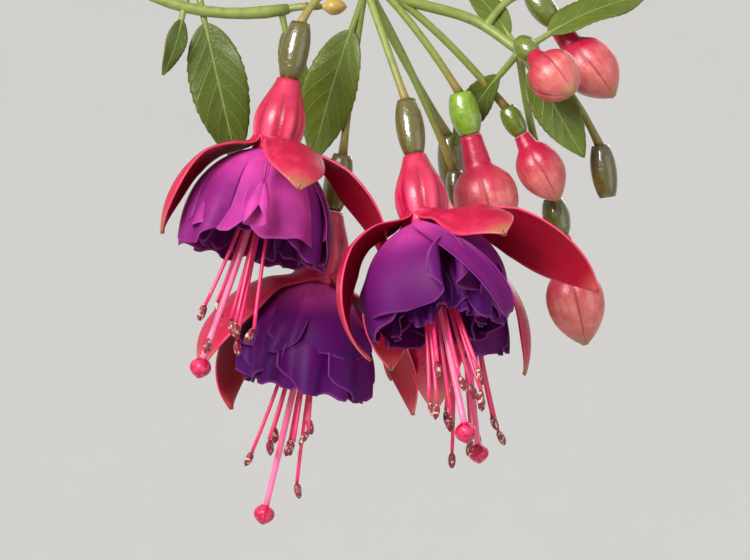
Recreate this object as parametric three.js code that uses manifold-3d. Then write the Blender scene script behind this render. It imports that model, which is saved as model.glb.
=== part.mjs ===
// A double-flowered fuchsia growing in a plain hanging basket.
//
// The pot hangs from a hook by three wires. Leafy stems rise from the soil, arch over the rim and trail.
// Blooms and buds hang from them on long stalks. A bloom is two pieces: the red calyx, which is a tube
// with four sepals, stamens and a style, and the purple corolla, which is two rings of petals inside it.
//
// Millimetres, +Z up. The origin is the point inside the hook where it bears on what holds it.
// -Y is the front, where the longest spray trails below the pot.
import * as THREE from "three";
import { mergeVertices } from "three/addons/utils/BufferGeometryUtils.js";
import Module from "manifold-3d";

const wasm = await Module();
wasm.setup();

// ---------------------------------------------------------------------------------------------------
// Driving dimensions

const GAP = 0.35; // between pieces that touch

const HOOK = { inner: 9, wire: 2, shankTop: -29, from: 215, to: -35, bends: 9, sides: 6 };
const HUB = { top: -40, height: 9, radius: 8.5, sides: 9 };
const WIRE = { count: 3, firstAzimuth: 50, radius: 1.2, inHub: 5, inLip: 97.9, sides: 5 };
const BEAD = { radius: 2.3, height: 3 }; // at each end of a wire
const WIRE_HOLE = WIRE.radius + 0.5;
const RIM_UP = -235; // the pot's rim, from the point of hanging
const POT = { rim: 104, neck: 95, belly: 83, foot: 66, depth: 112, wall: 2.6, lip: 9, shelf: 4, sides: 24 };
const DRAIN = { count: 4, radius: 4, circle: 40 };
const SOIL = { down: 13, dome: 5, holeDepth: 22 };

const STEM = { foot: 2.3, tip: 1.2, sides: 4, steps: 9, crownSteps: 6 };
const STALK = { radius: 0.85, steps: 3 };
const LEAF = { length: 50, width: 28, stalk: 6, neck: 0.9, sunk: 0.8, thick: 1.6 };
const LEAF_FORM = { fold: 0.22, sag: 0.24, wave: 0.035 }; // shares of its half width, length and width
const LEAF_ROOM = { length: 1, width: 1.4, thick: 1.6 }; // kept free round a leaf

const OVARY = { length: 12, radius: 3.1 };
const OVARY_PROFILE = [[0.62, 0.1], [1, 0.5], [0.74, 1]]; // [share of the radius, share of the length]
const TUBE = { length: 14.7, radius: 5.9, throat: 4.9 };
const SEPAL = { length: 34, width: 14, thick: 1.3, cup: 0.24, seat: 4.1, rolledBy: 0.4 };
const PETAL = { outer: 29, inner: 24, outerWidth: 20, innerWidth: 15, thick: 1.3, seat: 3.9 };
const COLLAR = { radius: 4.6, bore: 3, height: 2.4, down: 1.7 }; // the ring that holds the petals together
const STAMEN = { length: 41, radius: 0.55, anther: 1.3, antherLength: 3.4, spread: 7, ring: 1.7 };
const STYLE = { length: 50, radius: 0.75, stigma: 2.1 };

const THROAT = OVARY.length + GAP + TUBE.length; // down to the tube's mouth, from the end of the stalk

// ---------------------------------------------------------------------------------------------------
// Solids

const radians = THREE.MathUtils.degToRad;
const vector = (x, y, z) => new THREE.Vector3(x, y, z);
const polar = (radius, angle, z) => vector(radius * Math.cos(angle), radius * Math.sin(angle), z);

// A repeatable spread from -1 to 1, for the piece and the feature of it that the two numbers name.
function vary(piece, feature) {
  const wave = Math.sin(piece * 12.9898 + feature * 78.233 + 4.7) * 4375.8545;
  return 2 * (wave - Math.floor(wave)) - 1;
}

function closedSolid(positions, triangles) {
  const make = (triVerts) =>
    new wasm.Manifold(new wasm.Mesh({ numProp: 3, vertProperties: positions, triVerts }));
  const solid = make(new Uint32Array(triangles));
  return solid.volume() > 0 ? solid : make(new Uint32Array(triangles).reverse());
}

function solidOf(geometry) {
  const bare = new THREE.BufferGeometry();
  bare.setAttribute("position", geometry.toNonIndexed().getAttribute("position"));
  const merged = mergeVertices(bare, 1e-3);
  const index = merged.index.array;
  const kept = [];
  for (let i = 0; i < index.length; i += 3) {
    const [a, b, c] = index.subarray(i, i + 3);
    if (a !== b && b !== c && c !== a) kept.push(a, b, c);
  }
  return closedSolid(merged.attributes.position.array, kept);
}

function geometryOf(solid) {
  const mesh = solid.getMesh();
  const geometry = new THREE.BufferGeometry();
  geometry.setAttribute("position", new THREE.BufferAttribute(mesh.vertProperties, mesh.numProp));
  geometry.setIndex(new THREE.BufferAttribute(mesh.triVerts, 1));
  geometry.computeVertexNormals();
  return geometry;
}

const joined = (solids) => wasm.Manifold.union(solids);
const moved = (solid, matrix) => solid.transform(matrix.elements);
const fromPoints = (points, triangles) =>
  closedSolid(new Float32Array(points.flatMap((point) => point.toArray())), triangles);

// A solid of revolution about Z. Its profile is [radius, height] points that start and end on the axis.
function turned(profile, sides) {
  const points = profile.map(([radius, height]) => new THREE.Vector2(radius, height));
  return solidOf(new THREE.LatheGeometry(points, sides).rotateX(Math.PI / 2));
}

// An upright round plug, for drilling a hole or as a short shaft.
function plug(radius, height, sides, centre) {
  return solidOf(new THREE.CylinderGeometry(radius, radius, height, sides).rotateX(Math.PI / 2))
    .translate(centre.toArray());
}

// A bar through a list of points, with a radius at each of them.
function bar(points, radii, sides) {
  const last = points.length - 1;
  const spoke = vector(0.7, 0.7, 0.1);
  const corners = [];
  const triangles = [];
  points.forEach((point, i) => {
    const ahead = points[Math.min(i + 1, last)].clone().sub(points[Math.max(i - 1, 0)]).normalize();
    spoke.addScaledVector(ahead, -spoke.dot(ahead)).normalize();
    const across = ahead.clone().cross(spoke);
    for (let j = 0; j < sides; j++) {
      const angle = (2 * Math.PI * j) / sides;
      const corner = point.clone().addScaledVector(spoke, radii[i] * Math.cos(angle));
      corners.push(corner.addScaledVector(across, radii[i] * Math.sin(angle)));
      const [a, b] = [i * sides + j, i * sides + ((j + 1) % sides)];
      if (i < last) triangles.push(a, b, a + sides, b, b + sides, a + sides);
    }
  });
  const end = last * sides;
  for (let j = 1; j < sides - 1; j++) triangles.push(0, j + 1, j, end, end + j, end + j + 1);
  return fromPoints(corners, triangles);
}

// A leaf, sepal or petal. Its two faces share one outline, stand `thick` apart along the rib and are
// split into triangles alike. `ribs`, `left` and `right` are lists of { at, s } with s rising from 0 at
// the root to 1 at the tip, and a rib also has the `face` that its upper side looks in.
function blade({ root, tip, ribs, left, right, thick }) {
  const points = [];
  const place = (at) => points.push(at) - 1;
  const [first, last] = [{ index: place(root), s: 0 }, { index: place(tip), s: 1 }];
  const rail = (list) => [first, ...list.map(({ at, s }) => ({ index: place(at), s })), last];
  const raised = (shift) =>
    ribs.map(({ at, face, s }) => ({ at: at.clone().addScaledVector(face, shift), s }));
  const edges = [rail(left), rail(right)];
  const faces = [rail(raised(thick / 2)), rail(raised(-thick / 2))];
  const triangles = [];
  faces.forEach((inner, under) =>
    edges.forEach((outer, side) => triangles.push(...strip(inner, outer, under !== side))),
  );
  return fromPoints(points, triangles);
}

// Triangles between two rails, each step taken on the rail whose next point is nearer the root.
function strip(inner, outer, turnedOver) {
  const triangles = [];
  let [i, j] = [0, 0];
  while (i < inner.length - 1 || j < outer.length - 1) {
    const onInner = j === outer.length - 1 || (i < inner.length - 1 && inner[i + 1].s <= outer[j + 1].s);
    const ahead = onInner ? inner[i + 1] : outer[j + 1];
    const [a, b, c] = [inner[i].index, ahead.index, outer[j].index];
    if (a !== b && b !== c && c !== a) triangles.push(...(turnedOver ? [a, c, b] : [a, b, c]));
    if (onInner) i++;
    else j++;
  }
  return triangles;
}

// ---------------------------------------------------------------------------------------------------
// Pot, soil and hanger

const wireAngles = Array.from({ length: WIRE.count }, (_, i) =>
  radians(WIRE.firstAzimuth + (360 / WIRE.count) * i),
);

function pot() {
  const { rim, neck, belly, foot, depth, wall, lip, shelf, sides } = POT;
  const shell = turned(
    [
      [0, -depth],
      [foot, -depth],
      [belly, -depth / 2],
      [neck, -shelf],
      [rim - wall, -shelf],
      [rim - wall, -lip],
      [rim, -lip],
      [rim, -1],
      [rim - 1, 0],
      [neck - wall, 0],
      [belly - wall, -depth / 2],
      [foot - wall - 2, wall - depth],
      [0, wall - depth],
    ],
    sides,
  );
  const drains = Array.from({ length: DRAIN.count }, (_, i) =>
    plug(DRAIN.radius, 20, 6, polar(DRAIN.circle, (2 * Math.PI * (i + 0.5)) / DRAIN.count, -depth)),
  );
  const wireHoles = wireAngles.map((angle) => plug(WIRE_HOLE, 20, 8, polar(WIRE.inLip, angle, 0)));
  return shell.subtract(joined([...drains, ...wireHoles]));
}

// The inside radius of the pot at a height above its middle.
function potInside(height) {
  const share = (height + POT.depth / 2) / (POT.depth / 2);
  return THREE.MathUtils.lerp(POT.belly, POT.neck, share) - POT.wall;
}

// The soil, with a plain hole round the foot of each stem.
function soil(sprays) {
  const { belly, foot, depth, wall, sides } = POT;
  const clear = GAP * 1.5;
  const fill = turned(
    [
      [0, wall + GAP - depth],
      [foot - wall - 2 - clear, wall + GAP - depth],
      [belly - wall - clear, -depth / 2],
      [potInside(-SOIL.down) - clear, -SOIL.down],
      [0, SOIL.dome - SOIL.down],
    ],
    sides,
  );
  const radius = STEM.foot + GAP / Math.cos(Math.PI / STEM.sides);
  const holes = sprays.map(({ points, turn }) => {
    const ahead = points[1].clone().sub(points[0]).normalize();
    const ends = [-GAP, 60].map((step) => points[0].clone().addScaledVector(ahead, step));
    return moved(bar(ends, [radius, radius], STEM.sides), turn);
  });
  return fill.subtract(joined(holes));
}

// One wire, in the plane through the pot's axis: down through the hub, out to the lip and through it,
// with a bead at each end that the wire hangs by.
function wire() {
  const { radius, inHub, inLip, sides } = WIRE;
  const onHub = HUB.top - RIM_UP + GAP;
  const underLip = -POT.shelf - GAP;
  const route = [
    [inHub, onHub + BEAD.height, BEAD.radius * 0.5],
    [inHub, onHub + BEAD.height * 0.7, BEAD.radius],
    [inHub, onHub + 0.1, BEAD.radius],
    [inHub, onHub, radius],
    [inHub, onHub - GAP - HUB.height - 3, radius],
    [inLip, 4, radius],
    [inLip, underLip, radius],
    [inLip, underLip - 0.1, BEAD.radius],
    [inLip, underLip - BEAD.height * 0.7, BEAD.radius],
    [inLip, underLip - BEAD.height, BEAD.radius * 0.5],
  ];
  return bar(
    route.map(([out, up]) => vector(out, 0, up)),
    route.map(([, , thickness]) => thickness),
    sides,
  );
}

function hook() {
  const { inner, wire: half, shankTop, from, to, bends, sides } = HOOK;
  const { top, height, radius } = HUB;
  const arc = Array.from({ length: bends + 1 }, (_, i) => {
    const angle = radians(from + ((to - from) * i) / bends);
    return vector((inner + half) * Math.cos(angle), 0, (inner + half) * Math.sin(angle) - inner);
  });
  const route = [vector(0, 0, top - 4), vector(0, 0, shankTop), ...arc];
  const shank = bar(route, route.map(() => half), sides);
  const hub = turned(
    [
      [0, top - height],
      [radius, top - height],
      [radius, top - 1],
      [radius - 1, top],
      [0, top],
    ],
    HUB.sides,
  );
  const holes = wireAngles.map((angle) => plug(WIRE_HOLE, 40, 8, polar(WIRE.inHub, angle, top)));
  return joined([shank, hub]).subtract(joined(holes));
}

// ---------------------------------------------------------------------------------------------------
// Blooms and buds. Each hangs straight down from the end of its stalk at its own origin. An azimuth of
// 0 looks away from the basket and 90 to the right of that, seen from outside.

// How far out and down a blade of the flower has gone at the share s of its length. It leaves `pitch`
// degrees below level and turns by `turn` degrees on its way.
function reach({ seat, drop, pitch, turn, length }, s) {
  const radius = length / radians(turn);
  const angle = radians(pitch + turn * s);
  return {
    out: seat + radius * (Math.sin(angle) - Math.sin(radians(pitch))),
    down: drop + radius * (Math.cos(radians(pitch)) - Math.cos(angle)),
    angle,
  };
}

// A point of a sepal, `across` from its rib. The sides are cupped towards its inner face, and the
// sepal is rolled about its rib once it is clear of the tube.
function sepalPoint(sepal, s, across) {
  const azimuth = radians(sepal.azimuth);
  const { out, down, angle } = reach(sepal, s);
  const roll = radians(sepal.roll) * Math.min(s / SEPAL.rolledBy, 1);
  const level = polar(1, azimuth + Math.PI / 2, 0);
  const upright = polar(Math.sin(angle), azimuth, Math.cos(angle));
  const face = upright.clone().multiplyScalar(Math.cos(roll)).addScaledVector(level, -Math.sin(roll));
  const side = level.multiplyScalar(Math.cos(roll)).addScaledVector(upright, Math.sin(roll));
  const at = polar(out, azimuth, -THROAT - down).addScaledVector(side, across);
  return { at: at.addScaledVector(face, (-SEPAL.cup * across * across) / (SEPAL.width / 2)), s, face };
}

// Half a sepal's outline: the share of its length and the share of its half width.
const SEPAL_EDGE = [[0.15, 0.6], [0.42, 1], [0.72, 0.78], [0.9, 0.38]];
const PLAIN_SEPAL_EDGE = [[0.2, 0.7], [0.5, 1], [0.82, 0.56]];

function sepal([azimuth, pitch, turn, length, roll = 0], plain) {
  const shape = { azimuth, pitch, turn, length, roll, seat: SEPAL.seat, drop: -1.3 };
  const widths = plain ? PLAIN_SEPAL_EDGE : SEPAL_EDGE;
  const edge = (sign) => widths.map(([s, share]) => sepalPoint(shape, s, (sign * share * SEPAL.width) / 2));
  return blade({
    root: polar(1.5, radians(azimuth), 1.8 - THROAT),
    tip: sepalPoint(shape, 1, 0).at,
    ribs: (plain ? [0.45] : [0.3, 0.66]).map((s) => sepalPoint(shape, s, 0)),
    left: edge(1),
    right: edge(-1),
    thick: SEPAL.thick,
  });
}

// A point of a petal. It is wrapped round the flower's axis and its edge is ruffled.
function petalPoint(petal, s, across) {
  const { out, down, angle } = reach(petal, s);
  const azimuth = radians(petal.azimuth) + across / Math.max(out, 5);
  const ruffled = out + petal.ruffle * s * s * Math.sin(5 * azimuth + petal.azimuth);
  return {
    at: polar(ruffled, azimuth, -THROAT - down),
    s,
    face: polar(Math.sin(angle), azimuth, Math.cos(angle)),
  };
}

function petal(shape) {
  const widths = [[0.3, 0.66], [0.64, 1], [0.93, 0.8]];
  const edge = (sign) => widths.map(([s, share]) => petalPoint(shape, s, (sign * share * shape.width) / 2));
  return blade({
    root: petalPoint(shape, 0, 0).at,
    tip: petalPoint(shape, 1, 0).at,
    ribs: [petalPoint(shape, 0.6, 0)],
    left: edge(1),
    right: edge(-1),
    thick: PETAL.thick,
  });
}

// The shapes of one corolla's petals: an outer ring that flares and an inner ring that stays closed.
function petalShapes(seed, innerCount) {
  const common = { seat: PETAL.seat, drop: 1.6, ruffle: 1.1 };
  const outer = [0, 1, 2, 3].map((i) => ({
    ...common,
    azimuth: 20 + 90 * i + 7 * vary(seed, 20 + i),
    pitch: 12,
    turn: 104 + 8 * vary(seed, 40 + i),
    length: PETAL.outer,
    width: PETAL.outerWidth,
  }));
  const inner = Array.from({ length: innerCount }, (_, i) => ({
    ...common,
    azimuth: 65 + (360 / innerCount) * i + 7 * vary(seed, 60 + i),
    pitch: 58,
    turn: 32 + 5 * vary(seed, 50 + i),
    length: PETAL.inner,
    width: PETAL.innerWidth,
  }));
  return [...outer, ...inner];
}

function corolla({ seed, inner }) {
  const centre = vector(0, 0, -THROAT - COLLAR.down);
  const collar = plug(COLLAR.radius, COLLAR.height, 6, centre);
  const bore = plug(COLLAR.bore, 12, 6, centre);
  return joined([collar, ...petalShapes(seed, inner).map(petal)]).subtract(bore);
}

// The course of a stamen or style from inside the tube's mouth to its tip, in two straight steps.
function threadCourse(root, tip) {
  const middle = root.clone().lerp(tip, 0.5);
  middle.set(middle.x * 0.75, middle.y * 0.75, middle.z);
  return [root, middle, tip];
}

function stamen(seed, i, count) {
  const angle = radians((360 / count) * i + 25 * vary(seed, 70 + i));
  const spread = STAMEN.spread * (0.75 + 0.35 * vary(seed, 80 + i));
  const tip = polar(spread, angle, -THROAT - STAMEN.length + 5 * vary(seed, 90 + i));
  const below = (length) => tip.clone().add(vector(0, 0, -length));
  const course = threadCourse(polar(STAMEN.ring, angle, 1 - THROAT), tip);
  const route = [...course, below(STAMEN.antherLength / 2), below(STAMEN.antherLength)];
  const { radius, anther } = STAMEN;
  return bar(route, [radius, radius, radius, anther, radius * 0.9], 3);
}

function style([length, right]) {
  const tip = vector(-1.5, right, -THROAT - length);
  const below = (drop) => tip.clone().add(vector(0, 0, -drop));
  const route = [...threadCourse(vector(0, 0, 1 - THROAT), tip), below(1.4), below(3.4)];
  const { radius, stigma } = STYLE;
  return bar(route, [radius, radius, radius, stigma, stigma * 0.6], 4);
}

// The red part of a bloom: tube, sepals, stamens and style, which grew as one piece.
function calyx({ seed, sepals, reach: length, stamens, sides, plain }) {
  const top = -OVARY.length - GAP;
  const tube = turned(
    [
      [0, top],
      [2.5, top],
      [TUBE.radius * 0.8, top - TUBE.length * 0.42],
      [TUBE.radius, top - TUBE.length * 0.74],
      [TUBE.throat, -THROAT],
      [0, -THROAT],
    ],
    sides,
  );
  const threads = Array.from({ length: stamens }, (_, i) => stamen(seed, i, stamens));
  return joined([tube, ...sepals.map((shape) => sepal(shape, plain)), ...threads, style(length)]);
}

// A closed bud: its tube, and the four sepals shut round the petals.
function bud({ ovaryLength, tube, body, radius }, sides) {
  const top = -ovaryLength - GAP;
  return turned(
    [
      [0, top],
      [radius * 0.38, top],
      [radius * 0.5, top - tube],
      [radius, top - tube - body * 0.34],
      [radius * 0.74, top - tube - body * 0.76],
      [0, top - tube - body],
    ],
    sides,
  );
}

// The placing of something that hangs straight down so that it hangs along a direction.
function hang(at, along) {
  const turn = new THREE.Quaternion().setFromUnitVectors(vector(0, 0, -1), along.clone().normalize());
  return new THREE.Matrix4().compose(at, turn, vector(1, 1, 1));
}

// ---------------------------------------------------------------------------------------------------
// Leaves

// Half a leaf's outline: the share of its length and the share of its half width.
const PLAIN_EDGE = [[0.18, 0.8], [0.48, 1], [0.8, 0.56]];
const TOOTHED_EDGE = [[0.12, 0.64], [0.36, 1], [0.42, 0.9], [0.58, 0.94], [0.64, 0.8], [0.84, 0.5]];

// A leaf along +X with its upper face to +Z and the foot of its stalk at the origin.
function leafBlade({ length, width, stalk, toothed }, thick) {
  const { fold, wave } = LEAF_FORM;
  const sag = (s) => -LEAF_FORM.sag * length * s * s;
  const edge = (sign) => [
    { at: vector(stalk, sign * LEAF.neck, 0), s: 0.01 },
    ...(toothed ? TOOTHED_EDGE : PLAIN_EDGE).map(([s, share], i) => {
      const across = (share * width) / 2;
      const up = sag(s) + fold * across + wave * width * (i % 2 ? 1 : -1);
      return { at: vector(stalk + length * s, sign * across, up), s };
    }),
  ];
  const rib = (s) => ({ at: vector(stalk + length * s, 0, sag(s)), face: vector(0, 0, 1), s });
  return blade({
    root: vector(-LEAF.sunk, 0, 0),
    tip: vector(stalk + length, 0, sag(1)),
    ribs: [0.01, 0.45].map(rib),
    left: edge(1),
    right: edge(-1),
    thick,
  });
}

// Ways to bend a leaf clear of its neighbours, in the order in which they are tried: degrees turned in
// its own plane, degrees lifted, and a share of its size.
const BENDS = [
  [0, 0, 1],
  [16, 0, 1],
  [-16, 0, 1],
  [0, 18, 1],
  [0, -18, 1],
  [28, 14, 0.9],
  [-28, 14, 0.9],
  [28, -16, 0.85],
  [-28, -16, 0.85],
  [0, 36, 0.8],
  [0, -36, 0.75],
  [45, 8, 0.7],
  [-45, 8, 0.7],
];

// A bent leaf's placing in its spray. `along` is the way it grows and `face` the way it looks.
function leafPlacing({ at, along, face }, [turn, lift]) {
  const z = face.clone();
  const x = along.clone().normalize();
  z.addScaledVector(x, -z.dot(x)).normalize();
  x.applyAxisAngle(z, radians(turn));
  const y = z.clone().cross(x);
  x.applyAxisAngle(y, radians(-lift));
  z.applyAxisAngle(y, radians(-lift));
  return new THREE.Matrix4().makeBasis(x, y, z).setPosition(at);
}

// ---------------------------------------------------------------------------------------------------
// Sprays. Each has its own frame: +X out from the pot's axis, +Y to the right of that seen from
// outside, +Z up, and the origin on the axis at the height of the rim. A stem is four control points.

const footUp = -SOIL.down - SOIL.holeDepth;

// The long front spray. Its flower stalks fan out from TIP and from a side shoot, and their places are
// [out, right, up] from TIP. A stalk starts at a share of the way along the side shoot and bends once.
// A sepal is [azimuth, degrees below level where it leaves, degrees it turns by, length, degrees it is
// rolled], a bloom's reach is how far below the throat its style ends and how far to the right, and a
// bud's shape is the lengths of its ovary, tube and body, and its radius.
const TIP = vector(140, 0, -130);
const FRONT = {
  azimuth: -90,
  stem: [vector(30, 0, footUp), vector(40, 6, 150), vector(178, -12, 40), TIP],
  sideShoot: [[0.4, 0, 1.5], [-2, 10, -2], [-4, 24, -6], [0, 34, -13]],
  leafNodes: [2, 3, 4, 5, 6, 7],
  blooms: [
    {
      at: [12, -14, -8],
      along: [0.1, -0.2, -0.97],
      from: 0,
      bend: [7, -9, 3],
      sepals: [[-72, -6, 102, 34, 20], [82, -2, 84, 29, -24], [14, -22, 78, 27], [172, 0, 90, 34]],
      reach: [49, -6],
    },
    {
      at: [14, 9, -25],
      along: [0.28, 0.14, -0.95],
      from: 0,
      bend: [9, 4.5, -12],
      sepals: [[-72, 0, 112, 38, 24], [86, -4, 66, 37, -38], [28, -14, 40, 25], [-150, 10, 90, 36]],
      reach: [46, 2],
    },
    {
      at: [-8, -5, -36],
      along: [0, -0.19, -0.98],
      from: 0,
      bend: [-5, -3, -18],
      sepals: [[-88, 14, 52, 36, 30], [-50, 16, 72, 36, 20], [98, 22, 55, 36, -20], [175, 5, 90, 34]],
      reach: [53, -2],
    },
    {
      at: [-26, 19, -31],
      along: [-0.05, 0.08, -1],
      from: 0,
      bend: [-13, 9, -16],
      sepals: [[78, 14, 88, 33, -18], [-18, 22, 66, 39], [-100, 12, 95, 34], [180, 0, 80, 34]],
      reach: [44, 1],
    },
  ],
  buds: [
    {
      at: [-2, 21, -22.5],
      along: [0, 0.24, -0.97],
      from: 0.15,
      bend: [0, 14, -11],
      shape: [9, 7, 17, 7.4],
    },
    {
      at: [-8, 31.5, -25.5],
      along: [0, 0.49, -0.87],
      from: 0.2,
      bend: [-5, 18, -9],
      shape: [7, 5.5, 15, 5.9],
    },
    {
      at: [4.5, 34, -11.5],
      along: [0.6, 0.55, -0.58],
      from: 1,
      bend: [2, 34.5, -11.5],
      shape: [5, 2.5, 12, 5.8],
    },
    {
      at: [-9, 37, 0],
      along: [0.1, 0.62, -0.78],
      from: 0.75,
      bend: [-8, 32, 1],
      shape: [8, 6, 15, 6.3],
    },
    {
      at: [-18, 42, -45.5],
      along: [0.04, 0.22, -0.97],
      from: 1,
      bend: [-18, 36, -28],
      shape: [8, 8, 19, 7.4],
    },
  ],
  berries: [
    { at: [-11, 20, -39.5], along: [0, 0.1, -1], from: 0, bend: [-6, 10, -15], size: [7, 2.3] },
    { at: [-5, 52, -34], along: [0, 0.15, -1], from: 1, bend: [-5, 45, -18], size: [11, 2.9] },
  ],
  leaves: [
    { node: 9, along: [-0.12, -0.34, -0.93], face: [1, -0.25, 0], length: 31, width: 16, stalk: 9 },
    { along: [0.3, 0.5, -0.82], face: [1, -0.1, 0.3], length: 22, width: 16, stalk: 5 },
    { along: [-0.5, -0.56, -0.66], face: [0.9, -0.2, 0.3], length: 23, width: 12, stalk: 8 },
    { along: [-0.3, 0.82, 0.5], face: [0.8, -0.3, 0.5], length: 27, width: 15, stalk: 8 },
    { along: [-0.5, -0.45, 0.72], face: [0.7, 0, 0.5], length: 20, width: 10, stalk: 5 },
  ],
};

// The shoot at the front left, whose end runs level to the right behind the front blooms. Places are
// from its own end.
const LEFT_TIP = vector(109, 69, -133);
const FRONT_LEFT = {
  azimuth: -130,
  hand: -1,
  stem: [vector(30, 0, footUp), vector(62, -16, 172), vector(198, -14, -155), LEFT_TIP],
  leafNodes: [2, 3, 4, 5, 6],
  hangers: [5],
  tipBud: [3, 0.5, 5, 1.9],
  leaves: [
    { node: 8.4, along: [-0.1, 0.2, -0.97], face: [0.77, 0.64, 0], length: 31, width: 17, stalk: 6 },
    { node: 8.32, along: [0.4, 0.1, -0.9], face: [0.3, 0.9, 0.1], length: 13, width: 8, stalk: 6 },
    { node: 8.95, along: [-0.2, 0.1, -0.97], face: [0.77, 0.64, 0], length: 22, width: 10, stalk: 5 },
  ],
};

// The other trailing sprays: [azimuth, height of the tip from the rim].
const TRAILING = [[-46, -58], [-2, -82], [42, -10], [88, 4], [134, -8], [184, -78]];

// The azimuths of the shorter stems that fill the crown between the wires. One more stands midway.
const CROWN = [90, 130, 210, 250, 330, 10];

function trailingSpray([azimuth, tipUp], i) {
  const out = 170 + 7 * vary(i, 1);
  const hand = i % 2 ? -1 : 1;
  const sway = -hand * (8 + 5 * vary(i, 2));
  return {
    azimuth,
    hand,
    stem: [
      vector(30, 0, footUp),
      vector(40, sway * 0.4, 100 + 10 * vary(i, 3)),
      vector(out - 22, -sway, 84 + 10 * vary(i, 4)),
      vector(out, sway, tipUp),
    ],
    leafNodes: [2, 3, 4, 5, 6, 7],
    hangers: [8],
    tipBud: [8, 6, 15, 6.2],
  };
}

function crownSpray(azimuth, i) {
  const high = 84 + 10 * vary(i, 5);
  return {
    azimuth,
    stem: [
      vector(13, 0, footUp),
      vector(15, 0, 40),
      vector(30, 8 * vary(i, 6), high),
      vector(68 + 6 * vary(i, 7), 12 * vary(i, 8), high - 14),
    ],
    steps: STEM.crownSteps,
    leafNodes: [3, 4, 5, 6],
    leafSize: 1.05,
  };
}

const MIDDLE = {
  azimuth: 40,
  stem: [vector(1, 0, footUp), vector(-2, 0, 20), vector(3, 3, 60), vector(2, -2, 90)],
  steps: STEM.crownSteps,
  leafNodes: [4, 6],
};

const SPRAYS = [
  FRONT,
  ...TRAILING.map((place, i) => trailingSpray(place, i + 2)),
  FRONT_LEFT,
  ...CROWN.map((azimuth, i) => crownSpray(azimuth, i + 9)),
  MIDDLE,
];

// A point of the stem, counted in its steps.
function onStem(points, node) {
  const before = Math.ceil(node) - 1;
  return points[before].clone().lerp(points[before + 1], node - before);
}

// The leaves placed one by one: at a node of the stem, or at the end of the side shoot.
function placedLeaves({ leaves = [], points, shoot }) {
  return leaves.map(({ node, along, face, ...size }) => ({
    ...size,
    toothed: true,
    at: node ? onStem(points, node) : shoot.getPoint(1),
    along: vector(...along),
    face: vector(...face),
  }));
}

// The leaves of a spray's nodes, two to a node. Every other pair is turned round the stem and points
// further along it.
function pairedLeaves({ leafNodes, points, seed, leafSize = 1 }) {
  return leafNodes.flatMap((node, pair) => {
    const chord = points[node].clone().sub(points[node - 1]);
    const ahead = chord.clone().normalize();
    const odd = pair % 2;
    const twist = odd ? 12 + 78 * Math.max(ahead.z, 0) : -6;
    const side = vector(0, 1, 0).addScaledVector(ahead, -ahead.y).normalize();
    side.applyAxisAngle(ahead, radians(twist + 6 * vary(seed, node)));
    const hanging = Math.max(-ahead.z, 0);
    return [1, -1].map((hand) => {
      const key = 30 * node + 10 * hand;
      const yaw = radians((odd ? 44 : 74) + 9 * vary(seed, key));
      const along = ahead.clone().multiplyScalar(Math.cos(yaw)).addScaledVector(side, hand * Math.sin(yaw));
      along.z -= 0.22 + 0.15 * vary(seed, key + 1);
      const size = leafSize * (1.04 - 0.05 * node) * (1 + 0.1 * vary(seed, key + 2));
      return {
        at: points[node - 1].clone().addScaledVector(chord, 0.85).addScaledVector(ahead, 1.1 * hand),
        along,
        face: vector(0.25 + hanging, 0, 1 - 0.5 * hanging),
        length: LEAF.length * size,
        width: LEAF.width * size,
        stalk: LEAF.stalk,
      };
    });
  });
}

// A bloom on a long stalk from a node of the stem, and a bud from its end.
function hangingBlooms(spray, points, seed) {
  return (spray.hangers ?? []).map((node, i) => {
    const { hand } = spray;
    const start = points[node];
    return {
      start,
      bend: start.clone().add(vector(7, hand * 9, -6)),
      at: start.clone().add(vector(9, hand * 14, -33 + 4 * vary(seed, 12 + i))),
      along: vector(0.12 + 0.08 * vary(seed, 13 + i), 0.12 * vary(seed, 14 + i), -1),
      sepals: [0, 1, 2, 3].map((k) => [
        45 + 90 * k + 10 * vary(seed, 20 + k),
        -10 + 12 * vary(seed, 25 + k),
        85 + 20 * vary(seed, 30 + k),
        SEPAL.length,
      ]),
      reach: [STYLE.length + 3 * vary(seed, 35), 2 * vary(seed, 36)],
      plain: true,
    };
  });
}

function tipBud(spray, points, seed) {
  if (!spray.tipBud) return [];
  const hand = -spray.hand;
  const start = points.at(-1);
  const long = spray.tipBud[2] > 10;
  const step = (out, side, up) => start.clone().add(vector(out, side * hand, up));
  return [
    {
      start,
      bend: long ? step(3, 6, -6) : step(-1, 1.5, 0.5),
      at: long ? step(4, 9, -24) : step(-2, 4, 0.5),
      along: long ? vector(0.05, 0.15 * hand, -1) : vector(-0.55, 0.55, 0),
      shape: spray.tipBud,
      plain: true,
    },
  ];
}

// Turns the front spray's lists into places in its frame.
function placedFlowers(list, shoot) {
  return list.map((item) => ({
    ...item,
    start: shoot.getPoint(item.from),
    bend: vector(...item.bend).add(TIP),
    at: vector(...item.at).add(TIP),
    along: vector(...item.along),
  }));
}

// A flower's stalk, and the green ovary at its end.
function stalk({ start, bend, at, along, plain }, length, radius) {
  const course = new THREE.QuadraticBezierCurve3(start, bend, at).getPoints(STALK.steps);
  const body = OVARY_PROFILE.map(([share, drop]) => ({
    at: at.clone().addScaledVector(along.clone().normalize(), length * drop),
    radius: radius * share,
  }));
  const points = [...course, ...body.map((ring) => ring.at)];
  const radii = [...course.map(() => STALK.radius), ...body.map((ring) => ring.radius)];
  return bar(points, radii, plain ? 4 : 5);
}

// ---------------------------------------------------------------------------------------------------
// Assembly

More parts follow.
